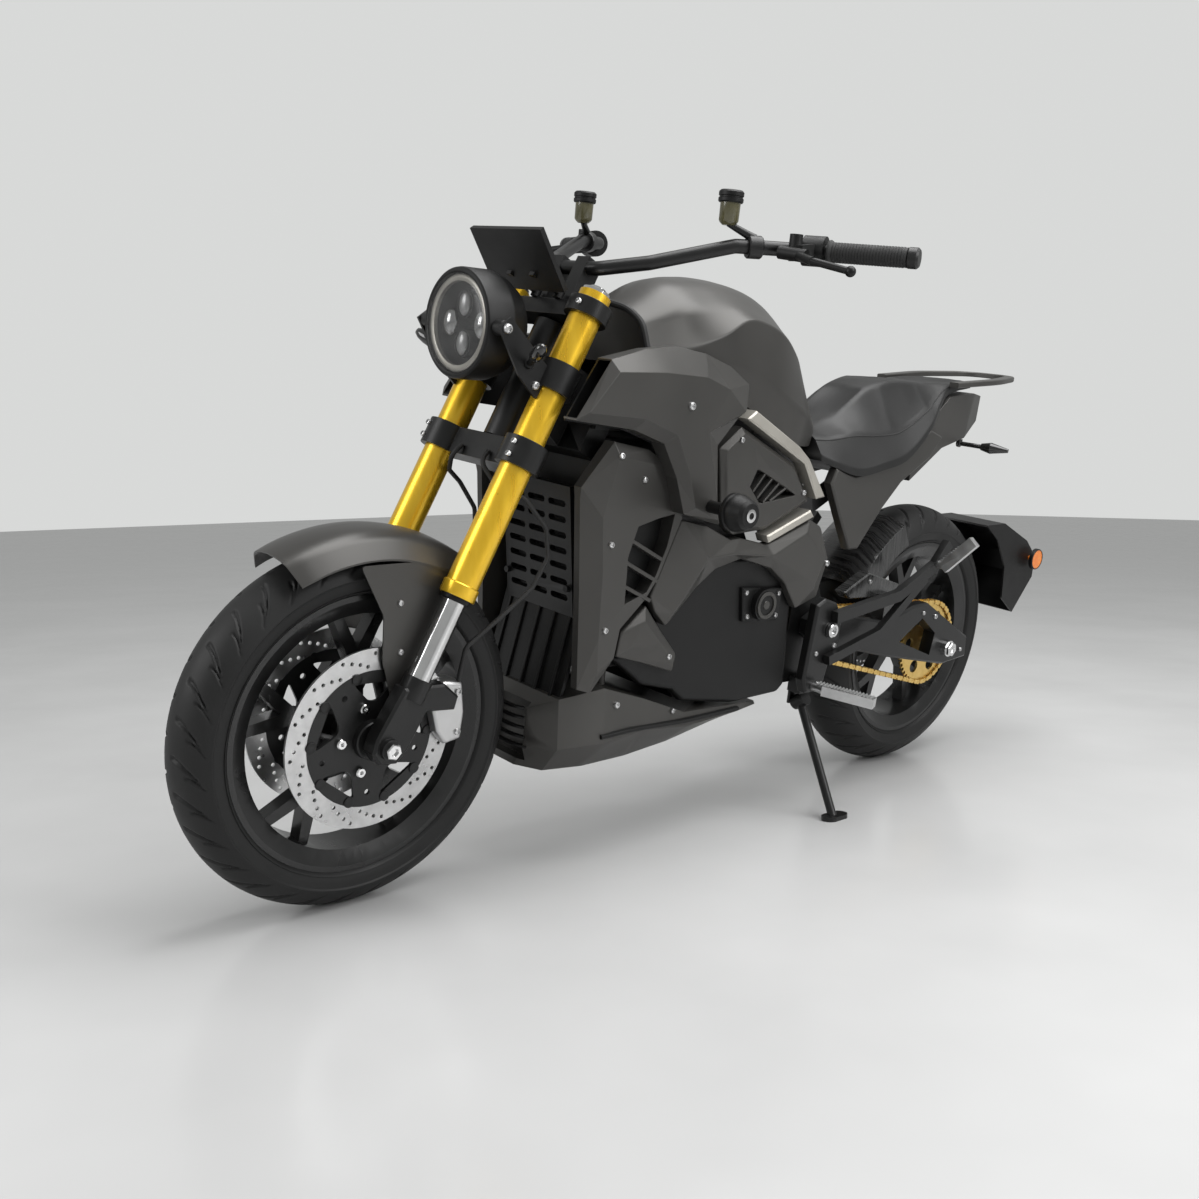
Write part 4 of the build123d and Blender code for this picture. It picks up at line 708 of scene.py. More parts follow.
def turned(profile, start, axis, count=24):
    """Points and faces of a closed shape turned about an axis: the profile is (distance along, radius)."""
    axis = Vector(axis).normalized()
    side = axis.orthogonal().normalized()
    other = axis.cross(side)
    points, faces = [], []
    for along, radius in profile:
        for k in range(count):
            bend = 2 * math.pi * k / count
            away = side * math.cos(bend) + other * math.sin(bend)
            points.append(tuple(Vector(start) + axis * along + away * radius))
    for row in range(len(profile) - 1):
        for k in range(count):
            nxt = (k + 1) % count
            faces.append((row * count + k, row * count + nxt, (row + 1) * count + nxt, (row + 1) * count + k))
    if profile[0] != profile[-1]:
        faces.append(tuple(reversed(range(count))))
        faces.append(tuple(range((len(profile) - 1) * count, len(profile) * count)))
    return points, faces


front_parts, hub_screws = [], []
for side in (-1, 1):
    front_parts.append(carrier(FRONT_AXLE, side * DISC_X, 113, 5, CARRIER_TURN, 5.5))
    for k in range(10):
        bend = CARRIER_TURN + 2 * math.pi * (k + 0.5) / 10
        cosine, sine = math.cos(bend), math.sin(bend)
        place = (
            side * (DISC_X - 3), FRONT_AXLE.y + BUTTON_CIRCLE * cosine, FRONT_AXLE.z + BUTTON_CIRCLE * sine,
        )
        front_parts.append(turned([(0, 9), (7.5, 9), (8, 8)], place, (side, 0, 0), 18))
        if k % 2:
            continue
        place = (side * DISC_X, FRONT_AXLE.y + SCREW_CIRCLE * cosine, FRONT_AXLE.z + SCREW_CIRCLE * sine)
        hub_screws.append(turned([(0, 8.5), (8, 8.5), (10, 7), (10, 3.4), (5, 3)], place, (side, 0, 0), 18))
    front_parts.append(turned(
        [(0, 34), (16, 32), (18, 30), (18, 14)], (side * 62, *FRONT_AXLE.yz), (side, 0, 0), 36,
    ))
declare(merged("front_carriers", front_parts), "front_wheel", "black_metal")
declare(
    merged("rear_carrier", [carrier(REAR_AXLE, REAR_DISC_X, 89, 5, 0.1, 5.5)]), "rear_wheel", "black_metal",
)
declare(merged("carrier_screws", hub_screws), "front_wheel", "polished_steel")
print("carriers and", len(hub_screws), "screws")

# %% [markdown]
# ## Faceted body panels
# The bodywork is folded like paper: flat facets that meet in soft creases. Each panel is listed
# as its outline, a few points inside and the creases between them, every point with its own
# distance to the left. A constrained triangulation turns that into facets, walls run back from
# the outline, and a live bevel rounds the creases. Modelling one side and mirroring it keeps
# both sides the same.

# %% A maker of folded panels
SAME_PLANE = 1.5  # degrees between facets that count as one


def within(spot, loop):
    """Whether a flat place lies inside a closed loop."""
    odd = False
    for a, b in zip(loop, loop[1:] + loop[:1]):
        if (a.y > spot.y) != (b.y > spot.y) and spot.x < (b.x - a.x) * (spot.y - a.y) / (b.y - a.y) + a.x:
            odd = not odd
    return odd


def folded(outline, inside=(), creases=(), windows=(), back=140.0):
    """Points and faces of a panel on the left: points are (x, y, z), and a crease joins two of them."""
    spots = list(outline) + list(inside)
    loops = [list(range(len(outline)))]
    for window in windows:
        loops.append(list(range(len(spots), len(spots) + len(window))))
        spots += list(window)
    flat = [Vector((spot[1], spot[2])) for spot in spots]
    rings = [[flat[k] for k in loop] for loop in loops]
    corners, _, triangles, originals, _, _ = delaunay_2d_cdt(flat, list(creases), loops, 0, 1e-3)
    depth = [spots[source[0]][0] for source in originals]
    count = len(corners)
    points = [(x, p.x, p.y) for x, p in zip(depth, corners)] + [(back, p.x, p.y) for p in corners]
    faces, edges = [], set()
    for triangle in triangles:
        a, b, c = (corners[k] for k in triangle)
        middle = (a + b + c) / 3
        if not within(middle, rings[0]) or any(within(middle, ring) for ring in rings[1:]):
            continue
        ordered = tuple(triangle) if (b - a).cross(c - a) > 0 else tuple(reversed(triangle))
        faces.append(ordered)
        faces.append(tuple(count + k for k in reversed(ordered)))
        edges.update(zip(ordered, ordered[1:] + ordered[:1]))
    walls = [edge for edge in sorted(edges) if edge[::-1] not in edges]
    faces += [(second, first, count + first, count + second) for first, second in walls]
    return points, faces


def chain_of(*indices):
    """A crease through several points, as pairs of neighbours."""
    return list(zip(indices, indices[1:]))


def panel(name, groups, node, slot="graphite_panel", width=3.0, angle=6, sharp=32):
    """Folded groups on both sides as one piece with rounded creases."""
    made = merged(name, [both_sides(*group) for group in groups])
    rebuild(made.data, drop_loose, flatten(SAME_PLANE), turn_out)
    round_edges(made, width, 3, angle)
    return declare(made, body_of[node], slot, [node], sharp=sharp)


# %% Air scoops
SCOOP_OUTLINE = [
    (186, -424, 918), (174, -340, 938), (167, -259, 946), (163, -184, 938), (164, -117, 919), (172, -74, 891),
    (180, -80, 852), (188, -109, 834), (189, -157, 784), (189, -144, 690), (190, -130, 643), (192, -226, 665),
    (188, -249, 727), (186, -287, 786), (186, -360, 808), (182, -484, 820),
]
SCOOP_INSIDE = [
    (201, -416, 900), (205, -315, 904), (202, -213, 900), (194, -147, 882), (197, -102, 845),
    (206, -200, 808), (206, -160, 690), (204, -150, 655), (198, -470, 834), (205, -352, 828),
    (206, -275, 802), (206, -235, 735), (205, -212, 678), (206, -250, 852),
]
SCOOP_BACK = 152
scoop = folded(
    SCOOP_OUTLINE,
    SCOOP_INSIDE,
    chain_of(16, 17, 18, 19, 5)
    + chain_of(6, 20, 21, 22, 23, 10)
    + chain_of(24, 25, 26, 27, 28, 11)
    + chain_of(16, 24),
    back=SCOOP_BACK,
)


def hollow(shell, front):
    """Opens a folded shell at its back, and at its front between two outline points."""
    points, faces = shell
    count = len(points) // 2
    kept = [face for face in faces if not all(k % count in front for k in face)]
    return points, [face for face in kept if not all(k >= count for k in face)]


scoop_skin = merged("air_scoop_skins", [both_sides(*hollow(scoop, (0, 15)))])
rebuild(scoop_skin.data, drop_loose, flatten(SAME_PLANE))
skin_wall = scoop_skin.modifiers.new("skin", "SOLIDIFY")
skin_wall.thickness, skin_wall.offset = 0.004, -1
round_edges(scoop_skin, 4.0, 3, 6)
declare(scoop_skin, "chassis", "graphite_panel", ["air_scoops"], sharp=32)
inner_wall = [(SCOOP_BACK + 3, y * 0.995 - 1, z - 3) for _, y, z in SCOOP_OUTLINE]
liners = merged("air_scoop_liners", [both_sides(*folded(inner_wall, back=151))])
declare(liners, "chassis", "black_plastic")
print("scoop creases:", len(SCOOP_INSIDE))

# %% Side shields and their louvres
SHIELD_OUTLINE = [
    (146, -427, 708), (152, -368, 784), (158, -292, 772), (160, -249, 748), (162, -212, 686),
    (161, -196, 652), (160, -240, 545), (158, -262, 510), (157, -316, 460), (156, -323, 408),
    (150, -366, 348), (144, -392, 356), (142, -405, 518), (142, -424, 690),
]
SHIELD_INSIDE = [
    (165, -389, 659), (166, -378, 565), (164, -371, 449), (160, -362, 385), (163, -362, 762),
    (164, -282, 748), (163, -245, 694),
]
LOUVRE_WINDOW = [
    (162, -216, 660), (162, -257, 653), (163, -303, 641), (163, -320, 588), (162, -316, 505),
    (161, -266, 522), (161, -246, 552), (161, -226, 603),
]
shield = folded(
    SHIELD_OUTLINE,
    SHIELD_INSIDE,
    chain_of(14, 15, 16, 17, 10) + chain_of(14, 20, 4) + chain_of(14, 18, 19, 3) + chain_of(13, 14),
    [LOUVRE_WINDOW],
    back=128,
)
panel("side_shield_panels", [shield], "side_shields")


def bar_between(start, end, width, height, axis=(1, 0, 0)):
    """Points and faces of a square bar: width runs along the axis, height across it."""
    start, end = Vector(start), Vector(end)
    wide = Vector(axis) * width / 2
    tall = (end - start).cross(Vector(axis)).normalized() * height / 2
    ends = [[tuple(p + wide * a + tall * b) for a, b in (
        (-1, -1), (1, -1), (1, 1), (-1, 1),
    )] for p in (start, end)]
    return ends[0] + ends[1], [
        (3, 2, 1, 0), (4, 5, 6, 7), (0, 1, 5, 4), (1, 2, 6, 5), (2, 3, 7, 6), (3, 0, 4, 7),
    ]


slats = []
for low, high in (((-323, 622), (-232, 578)), ((-323, 580), (-240, 540)), ((-322, 538), (-252, 506))):
    slats.append(both_sides(*bar_between((151, *low), (151, *high), 20, 7)))
louvres = round_edges(merged("shield_louvres", slats), 1.4)
declare(louvres, "chassis", "graphite_panel")
backing = [(-326, 500), (-326, 650), (-216, 664), (-222, 600), (-244, 520)]
recess = both_sides(*folded([(134, y, z) for y, z in backing], back=131))
declare(merged("shield_recess", [recess]), "chassis", "black_plastic")

# %% Vent panels with a slotted triangle
VENT_OUTLINE = [
    (158, -119, 774), (160, -66, 815), (158, 98, 745), (158, 156, 674), (160, 34, 623), (160, -57, 616),
    (158, -90, 641),
]
VENT_INSIDE = [
    (167, -104, 772), (168, -64, 803), (166, 90, 738), (166, 138, 679), (168, 30, 633), (168, -52, 626),
    (167, -80, 646), (168, -30, 775), (170, 20, 738),
]
VENT_WINDOW = [(166, -13, 738), (165, 108, 687), (166, 4, 674), (167, -30, 706)]
vent = folded(
    VENT_OUTLINE, VENT_INSIDE, chain_of(7, 8, 9, 10, 11, 12, 13, 7) + chain_of(8, 14, 15), [VENT_WINDOW],
    back=140,
)
panel("vent_panel_faces", [vent], "vent_panels")
fins = []
for share in (0.14, 0.32, 0.5, 0.68):
    top = Vector((160, -13, 738)).lerp(Vector((160, 108, 687)), share + 0.04)
    foot = Vector((160, -30, 706)).lerp(Vector((160, 4, 674)), min(1, share * 2.2)).lerp(
        Vector((160, 108, 687)), max(0, share - 0.42),
    )
    fins.append(both_sides(*bar_between(top, foot, 12, 4)))
declare(round_edges(merged("vent_fins", fins), 0.8), "chassis", "graphite_panel")
recess = both_sides(*folded([(144, -16, 742), (144, 112, 688), (144, 4, 668), (144, -34, 706)], back=142))
declare(merged("vent_recess", [recess]), "chassis", "black_plastic")

# %% Cross covers and toes
CROSS_OUTLINE = [
    (162, -197, 650), (164, -163, 643), (162, -126, 634), (161, -60, 607), (161, -33, 609), (161, 44, 593),
    (162, 168, 636), (161, 204, 622), (160, 243, 554), (160, 221, 477), (158, 162, 457), (158, 119, 511),
    (160, 68, 544), (161, -24, 569), (160, -90, 554), (159, -138, 520), (158, -205, 455), (158, -236, 484),
    (158, -251, 512),
]
CROSS_INSIDE = [
    (174, -128, 577), (172, -60, 582), (172, 56, 572), (173, 150, 612), (172, 218, 556), (171, 172, 520),
    (168, -196, 480), (171, 196, 498),
]
cross = folded(
    CROSS_OUTLINE,
    CROSS_INSIDE,
    chain_of(1, 19, 25, 16)
    + chain_of(19, 20, 21, 22, 6)
    + chain_of(21, 24, 23)
    + chain_of(22, 23, 26, 9)
    + chain_of(19, 15),
    back=140,
)
toe = folded(
    [
        (156, -312, 451), (156, -257, 497), (158, -215, 447), (157, -168, 400), (154, -170, 364),
        (154, -260, 393), (154, -316, 409),
    ],
    [(165, -262, 470), (167, -218, 425), (164, -180, 386), (163, -290, 425)],
    chain_of(1, 7, 8, 9, 4) + chain_of(7, 10, 6),
    back=140,
)
panel("cross_cover_faces", [cross, toe], "cross_covers")

# %% [markdown]
# ## Softened castings and plates
# The other solids already have their true outline. A bevel sized to each one, from a soft
# moulding at 4 mm to a stamped plate at under 1 mm, is all that tells them apart.

# %% Soften the rest
for name, width in (
    ("frame_rails", 2.0), ("battery_covers", 4.0), ("charge_port", 1.5), ("pivot_brackets", 4.0),
    ("swingarm", 4.0), ("peg_brackets", 4.0), ("tail_cowl", 4.0), ("fork_feet", 3.0), ("triple_clamps", 2.5),
    ("display", 2.0), ("lamp_brackets", 1.2), ("carbon_guards", 2.0), ("plate_carrier", 2.0),
    ("battery_case", 4.0), ("main_frame", 2.5), ("subframe", 2.0), ("grille_plate", 1.2), ("stand_lug", 1.5),
    ("rear_caliper", 3.0), ("tail_light", 2.0), ("belly_pan", 5.0),
):
    soften(name, width)

# %% [markdown]
# ## Skins that flow along the machine
# The tank cover and the seat are soft forms: a few cross sections, and a smooth surface that
# runs through them. Each station gives the same corner points from the middle out. A spline
# carries every corner along the machine and a small curve rounds it across, so a crease is
# tight where its radius is small and fades where it is large.

# %% A skin maker
def flow(stations, y):
    """The corner places at a distance back, on smooth curves through the stations."""
    ys = [station[0] for station in stations]
    k = min(max(sum(1 for v in ys if v <= y) - 1, 0), len(ys) - 2)
    span = ys[k + 1] - ys[k]
    t = (y - ys[k]) / span
    places = []
    for column in range(1, len(stations[0])):
        at = [Vector(station[column]) for station in stations]
        start = (at[k + 1] - at[k - 1]) / (ys[k + 1] - ys[k - 1]) if k else (at[1] - at[0]) / span
        stop = (at[k + 2] - at[k]) / (ys[k + 2] - ys[k]) if k + 2 < len(ys) else (at[k + 1] - at[k]) / span
        blend = (2 * t**3 - 3 * t**2 + 1, t**3 - 2 * t**2 + t, 3 * t**2 - 2 * t**3, t**3 - t**2)
        places.append(
            at[k] * blend[0] + start * span * blend[1] + at[k + 1] * blend[2] + stop * span * blend[3]
        )
    return places


def soft_line(points, radii, steps=4):
    """An open line whose inner corners are rounded; it works in two or three dimensions."""
    points = [Vector(point) for point in points]
    line = [points[0]]
    for k in range(1, len(points) - 1):
        before, corner, after = points[k - 1 : k + 2]
        run_in, run_out = corner - before, after - corner
        start = corner - run_in * min(radii[k - 1] / max(run_in.length, 1e-6), 0.49)
        stop = corner + run_out * min(radii[k - 1] / max(run_out.length, 1e-6), 0.49)
        line += [start.lerp(corner, s / steps).lerp(
            corner.lerp(stop, s / steps), s / steps,
        ) for s in range(steps + 1)]
    return line + [points[-1]]


def skin(stations, radii, along=70, steps=4):
    """Points and faces of a closed skin through stations of (x, z) corners from the middle out."""
    low, high = stations[0][0], stations[-1][0]
    points, faces = [], []
    for k in range(along + 1):
        y = low + (high - low) * k / along
        half = soft_line(flow(stations, y), radii, steps)
        ring = [(x, y, z) for x, z in half] + [(-x, y, z) for x, z in reversed(half[1:])]
        size = len(ring)
        points += ring
        if k:
            for a in range(size):
                b = (a + 1) % size
                faces.append(((k - 1) * size + a, k * size + a, k * size + b, (k - 1) * size + b))
    faces += [tuple(range(size)), tuple(reversed(range(along * size, along * size + size)))]
    return points, faces


# %% Tank cover
TANK = [
    (-268, (0, 1010), (46, 1003), (86, 980), (102, 944), (108, 930), (100, 906)),
    (-190, (0, 1054), (54, 1046), (106, 1010), (134, 948), (135, 936), (122, 894)),
    (-120, (0, 1066), (56, 1058), (108, 1020), (145, 972), (143, 925), (130, 880)),
    (-60, (0, 1068), (54, 1060), (106, 1026), (143, 1002), (144, 916), (136, 862)),
    (0, (0, 1064), (52, 1056), (104, 1020), (140, 998), (143, 900), (136, 832)),
    (60, (0, 1050), (48, 1042), (99, 1004), (134, 978), (140, 874), (132, 800)),
    (120, (0, 1018), (44, 1012), (88, 972), (116, 944), (132, 850), (126, 786)),
    (160, (0, 990), (38, 984), (80, 944), (96, 918), (126, 836), (116, 776)),
    (205, (0, 934), (30, 928), (64, 894), (78, 874), (106, 818), (98, 772)),
    (236, (0, 890), (22, 884), (48, 864), (62, 848), (87, 806), (80, 772)),
]
tank = merged("tank_skin", [skin(TANK, (26, 16, 4, 9), 90)])
declare(tank, "chassis", "graphite_panel", ["tank_cover"], sharp=60)
trim_path = soft_line(
    [(0, -270, 1008), (48, -270, 1001), (87, -270, 979), (109, -270, 928), (102, -270, 906)], (20, 16, 12), 6,
)


def swept(path, section, up=(0, 0, 1), ends=True):
    """Points and faces of a section of (across, up) places carried along a path."""
    path = [Vector(p) for p in path]
    points, faces, size = [], [], len(section)
    for k, place in enumerate(path):
        ahead = (path[min(k + 1, len(path) - 1)] - path[max(k - 1, 0)]).normalized()
        side = ahead.cross(Vector(up)).normalized()
        top = side.cross(ahead)
        points += [tuple(place + side * a + top * b) for a, b in section]
        if k:
            for a in range(size):
                b = (a + 1) % size
                faces.append(((k - 1) * size + a, (k - 1) * size + b, k * size + b, k * size + a))
    if ends:
        faces += [tuple(reversed(range(size))), tuple(range((len(path) - 1) * size, len(path) * size))]
    return points, faces


def round_section(radius, count=12):
    """A round section as (across, up) places."""
    turn = 2 * math.pi / count
    return [(radius * math.cos(k * turn), radius * math.sin(k * turn)) for k in range(count)]


trim = merged("tank_front_trim", [both_sides(*swept(trim_path, round_section(6, 10), (0, 1, 0)))])
declare(trim, "chassis", "grip_rubber")
print("tank faces:", len(tank.data.polygons))

# %% [markdown]
# ## Seat
# Foam under a stitched cover: it swells between its seams. The cover is cut flat between the
# stations and pinned along its seams and its hem. A short cloth simulation with pressure from
# inside then blows it up, which is how the crown and the soft valley at each seam come about.

# %% Seat cushion
SEAT = [
    (240, (0, 806), (44, 803), (88, 789), (110, 758), (110, 746)),
    (276, (0, 810), (46, 806), (98, 790), (126, 746), (126, 732)),
    (340, (0, 834), (50, 832), (108, 800), (138, 733), (138, 717)),
    (420, (0, 888), (54, 884), (112, 802), (142, 746), (142, 730)),
    (500, (0, 914), (60, 910), (112, 812), (142, 768), (142, 752)),
    (590, (0, 918), (62, 914), (108, 856), (130, 830), (130, 816)),
    (646, (0, 914), (60, 911), (92, 886), (108, 874), (108, 862)),
    (700, (0, 922), (62, 919), (84, 910), (88, 902), (88, 890)),
    (800, (0, 927), (54, 925), (70, 920), (74, 914), (74, 906)),
    (830, (0, 922), (44, 920), (56, 914), (60, 910), (60, 906)),
]
ALONG, SEAT_RADII, SEAM_COLUMN = 118, (14, 10, 5), 9
seat_points, seat_faces = skin(SEAT, SEAT_RADII, ALONG, 4)
cushion = merged("seat_cushion", [(seat_points, seat_faces)])
ring_size = len(seat_points) // (ALONG + 1)
hem = {ring_size // 2, ring_size // 2 + 1}
pins = cushion.vertex_groups.new(name="held")
for index in range(len(seat_points)):
    row, column = divmod(index, ring_size)
    across = min(column, ring_size - column)
    y = seat_points[index][1]
    held = 1.0 if column in hem or across >= ring_size // 2 - 3 or row in (0, ALONG) else 0.0
    if abs(across - SEAM_COLUMN) <= 1:
        held = max(held, 0.985)
    if abs(y - 640) < 4 or (abs(y - 470) < 3 and across < 9):
        held = max(held, 0.97)
    pins.add([index], held, "REPLACE")
cloth = cushion.modifiers.new("cover", "CLOTH")
cloth.settings.quality = 5
cloth.settings.mass = 0.2
cloth.settings.tension_stiffness = cloth.settings.compression_stiffness = 30
cloth.settings.bending_stiffness = 2
cloth.settings.vertex_group_mass = "held"
cloth.settings.pin_stiffness = 1
cloth.settings.use_pressure = True
cloth.settings.uniform_pressure_force = 1.6
cloth.settings.effector_weights.gravity = 0
cloth.collision_settings.use_collision = False
scene = bpy.context.scene
for step in range(1, 13):
    scene.frame_set(step)
shaped = bpy.data.meshes.new_from_object(cushion.evaluated_get(bpy.context.evaluated_depsgraph_get()))
cushion.modifiers.clear()
moved = max((a.co - b.co).length for a, b in zip(shaped.vertices, cushion.data.vertices))
print("seat swelled by at most", round(moved * 1000, 1), "mm")
cushion.data = shaped
scene.frame_set(1)
declare(cushion, "chassis", "seat_cover", ["seat"], sharp=70)

# %% Seams on the seat
back_to_upright, seams = PLACE.inverted(), []
for column in (SEAM_COLUMN, ring_size - SEAM_COLUMN):
    spots = [cushion.data.vertices[row * ring_size + column].co for row in range(ALONG + 1)]
    seams.append(swept([back_to_upright @ spot for spot in spots], round_section(1.5, 6)))
piping = merged("seat_piping", seams)
declare(piping, "chassis", "grip_rubber")

# %% Grab rail with a flat section
RAIL = [(98, 700, 912), (105, 860, 926), (62, 1008, 936), (-62, 1008, 936), (-105, 860, 926), (-98, 700, 912)]
flat_bar = [(-12, -4), (-10, -6), (10, -6), (12, -4), (12, 4), (10, 6), (-10, 6), (-12, 4)]
rail = merged("grab_rail_bar", [swept(soft_line(RAIL, (40, 46, 46, 40), 9), flat_bar)])
declare(rail, "chassis", "graphite_panel", ["grab_rail"])

# %% [markdown]
# ## Front fender
# A pressed shell over the tyre. Its crown is one section turned about the axle, and its skirts
# run down inside the fork legs to the two bosses on the feet.

# %% Fender crown and skirts
def turned_shell(axle, profile, start, stop, count, wall):
    """Part of a ring: outer (x, radius) places from the left to the right, thickened inwards."""
    outer = [Vector(p) for p in profile]
    inner = [p - Vector((0, wall)) for p in reversed(outer)]
    section = outer + inner
    points, faces, size = [], [], len(section)
    for k in range(count + 1):
        angle = math.radians(start + (stop - start) * k / count)
        ease = 1 - 0.35 * max(0, abs(2 * k / count - 1) - 0.86) / 0.14
        cosine, sine = math.cos(angle), math.sin(angle)
        points += [(x * (0.9 + 0.1 * ease), axle.y + r * cosine, axle.z + r * sine) for x, r in section]
        if k:
            for a in range(size):
                b = (a + 1) % size
                faces.append(((k - 1) * size + a, (k - 1) * size + b, k * size + b, k * size + a))
    faces += [tuple(reversed(range(size))), tuple(range(count * size, count * size + size))]
    return points, faces


half_crown = soft_line([(0, 334), (34, 331), (54, 321), (76, 291)], (26, 8), 5)
crown_profile = [(x, r) for x, r in reversed(half_crown)] + [(-x, r) for x, r in half_crown[1:]]
SKIRT = [
    (-790, 582), (-744, 500), (-742, 430), (-722, 364), (-699, 364), (-650, 450), (-600, 540), (-590, 556),
    (-680, 584),
]
skirt_points, skirt_faces = plate(rounded(SKIRT, 9, 4), [], 72.5, 75.5)
skirt = both_sides([(h, p, q) for p, q, h in skirt_points], skirt_faces)
boss = both_sides(*swept([(74, -697, 382), (86, -697, 382)], round_section(8, 20), (0, 0, 1)))
fender = merged(
    "front_fender_shell", [turned_shell(FRONT_AXLE, crown_profile, 56, 118, 48, 3.0), skirt, boss],
)
round_edges(fender, 1.0, 2, 40)
declare(fender, "steering", "graphite_panel", ["front_fender"], sharp=30)

# %% Splash plate under the grille, and louvres on the belly pan
ribs = [bar_between((0, -354, 500), (0, -396, 312), 214, 8)]
ribs += [bar_between((x, -361, 492), (x, -401, 318), 6, 8) for x in (-84, -42, 0, 42, 84)]
declare(facing_out(round_edges(merged("splash_plate", ribs), 1.5, 2)), "chassis", "black_plastic")
fins = []
for k in range(5):
    z = 232 + 17 * k
    reach = 12 - 2 * abs(k - 2)
    path = soft_line(
        [
            (-66 + 4 * k, -418 - reach, z), (-40, -437 - reach * 0.4, z + 2), (40, -437 - reach * 0.4, z + 2),
            (66 - 4 * k, -418 - reach, z),
        ],
        (20, 20), 5,
    )
    fins.append(swept(path, [(-5, -2), (5, -2), (5, 2), (-5, 2)]))
declare(round_edges(merged("belly_louvres", fins), 0.8, 2), "chassis", "black_plastic")
winglet = both_sides(*swept(
    soft_line([(150, -330, 262), (156, -260, 268), (152, -120, 262), (144, 40, 262)], (30, 30), 5),
    [(-2, -5), (5, -3), (5, 3), (-2, 5)],
))
declare(round_edges(merged("belly_winglets", [winglet]), 1.0, 2), "chassis", "black_plastic")

# %% [markdown]
# ## Headlight
# A deep spun shell with a reflector bowl, a frosted ring round the edge, a tall projector lens
# above and below, and a polished dome on each side. It is built hollow, because the clear
# front lets you look into it.

# %% Headlight
LIGHT = (0, -596, 950)


def lathe(name, body, slot, *runs, stands_for=(), sharp=35, count=48):
    """Turned parts as one piece: each run is a profile, a start and an axis."""
    made = merged(name, [turned(profile, start, axis, count) for profile, start, axis in runs])
    return declare(facing_out(made), body, slot, stands_for, sharp)


def dome(radius_x, radius_z, centre, depth, count=40, rings=8):
    """Half of an egg that bulges forwards."""
    points, faces = [], []
    for ring in range(rings + 1):
        lean = math.pi / 2 * ring / rings
        for k in range(count):
            bend = 2 * math.pi * k / count
            points.append(
                (
                    centre[0] + radius_x * math.cos(lean) * math.cos(bend) + 0.001 * math.cos(bend),
                    centre[1] - depth * math.sin(lean),
                    centre[2] + radius_z * math.cos(lean) * math.sin(bend) + 0.001 * math.sin(bend),
                )
            )
    for ring in range(rings):
        for k in range(count):
            nxt = (k + 1) % count
            faces.append((
                ring * count + k, ring * count + nxt, (ring + 1) * count + nxt, (ring + 1) * count + k,
            ))
    faces.append(tuple(range(rings * count, rings * count + count)))
    faces.append(tuple(reversed(range(count))))
    return points, faces


SHELL = [
    (112, 0.01), (112, 22), (109, 40), (102, 56), (90, 70), (72, 81), (56, 86), (54, 87.2), (50, 88), (8, 88),
    (3, 87), (0.5, 84.5), (0, 81), (1, 78.6), (12, 78), (22, 74), (40, 58), (48, 30), (49, 0.01),
]
lathe(
    "headlight_bowl", "steering", "black_plastic", (SHELL, LIGHT, (0, 1, 0)), stands_for=["headlight_shell"],
    sharp=28, count=96,
)
bosses = [(
    [(0, 0.01), (0, 12), (22, 12), (24, 10), (24, 0.01)], (side * 84, -578, 950), (side, 0, 0),
) for side in (1, -1)]
lathe("headlight_bosses", "steering", "black_metal", *bosses)
HALO = [(5, 66), (3.5, 70), (4.5, 75), (8, 77.6), (12, 77), (12, 66), (5, 66)]
lathe("headlight_ring", "steering", "pale_strip", (HALO, LIGHT, (0, 1, 0)), sharp=60, count=96)
eggs = merged("headlight_projectors", [dome(14, 20, (0, -578, 950 + side * 31), 9) for side in (1, -1)])
declare(facing_out(eggs), "steering", "peg_silver", sharp=60)
hoods = [(
    [(0, 19), (0, 22), (14, 24), (30, 24), (30, 19), (0, 19)], (0, -580, 950 + side * 31), (0, 1, 0),
) for side in (1, -1)]
lathe("headlight_hoods", "steering", "black_plastic", *hoods)
pods = merged("headlight_domes", [dome(17, 24, (side * 42, -572, 950), 13) for side in (1, -1)])
declare(facing_out(pods), "steering", "polished_steel", sharp=60)
FRONT = [
    (6, 78.2), (0, 78.2), (-2.6, 70), (-4.4, 50), (-5, 25), (-5.2, 0.01), (-3.2, 0.01), (-3, 25), (-2.4, 50),
    (-0.6, 70), (3, 76.5), (6, 76.5),
]
lathe(
    "headlight_glass", "steering", "lens_clear", (FRONT, LIGHT, (0, 1, 0)), stands_for=["headlight_lens"],
    sharp=60, count=96,
)

# %% Front indicators
indicators = []
for side in (1, -1):
    run = Vector((67 * side, -26, 36)).normalized()
    indicators.append((
        [(0, 0.01), (0, 8), (4, 8), (6, 5.5), (24, 5.5), (27, 8), (30, 9.5), (32, 9.5)],
        (112 * side, -530, 898), run,
    ))
lathe("front_indicator_stalks", "steering", "black_plastic", *indicators, stands_for=["front_indicators"])
LENS_PROFILE = [(32, 9.5), (36, 10.8), (48, 11), (60, 9.4), (68, 6), (71, 0.01)]
lamps = [(LENS_PROFILE, start, run) for _, start, run in indicators]
lathe("front_indicator_lenses", "steering", "lens_smoked", *lamps, sharp=60)

# %% [markdown]
# ## Controls
# Everything on the bar is turned or moulded round it: ribbed rubber grips with weighted ends,
# and the two fluid cups, each with a ridged black cap over a translucent body.

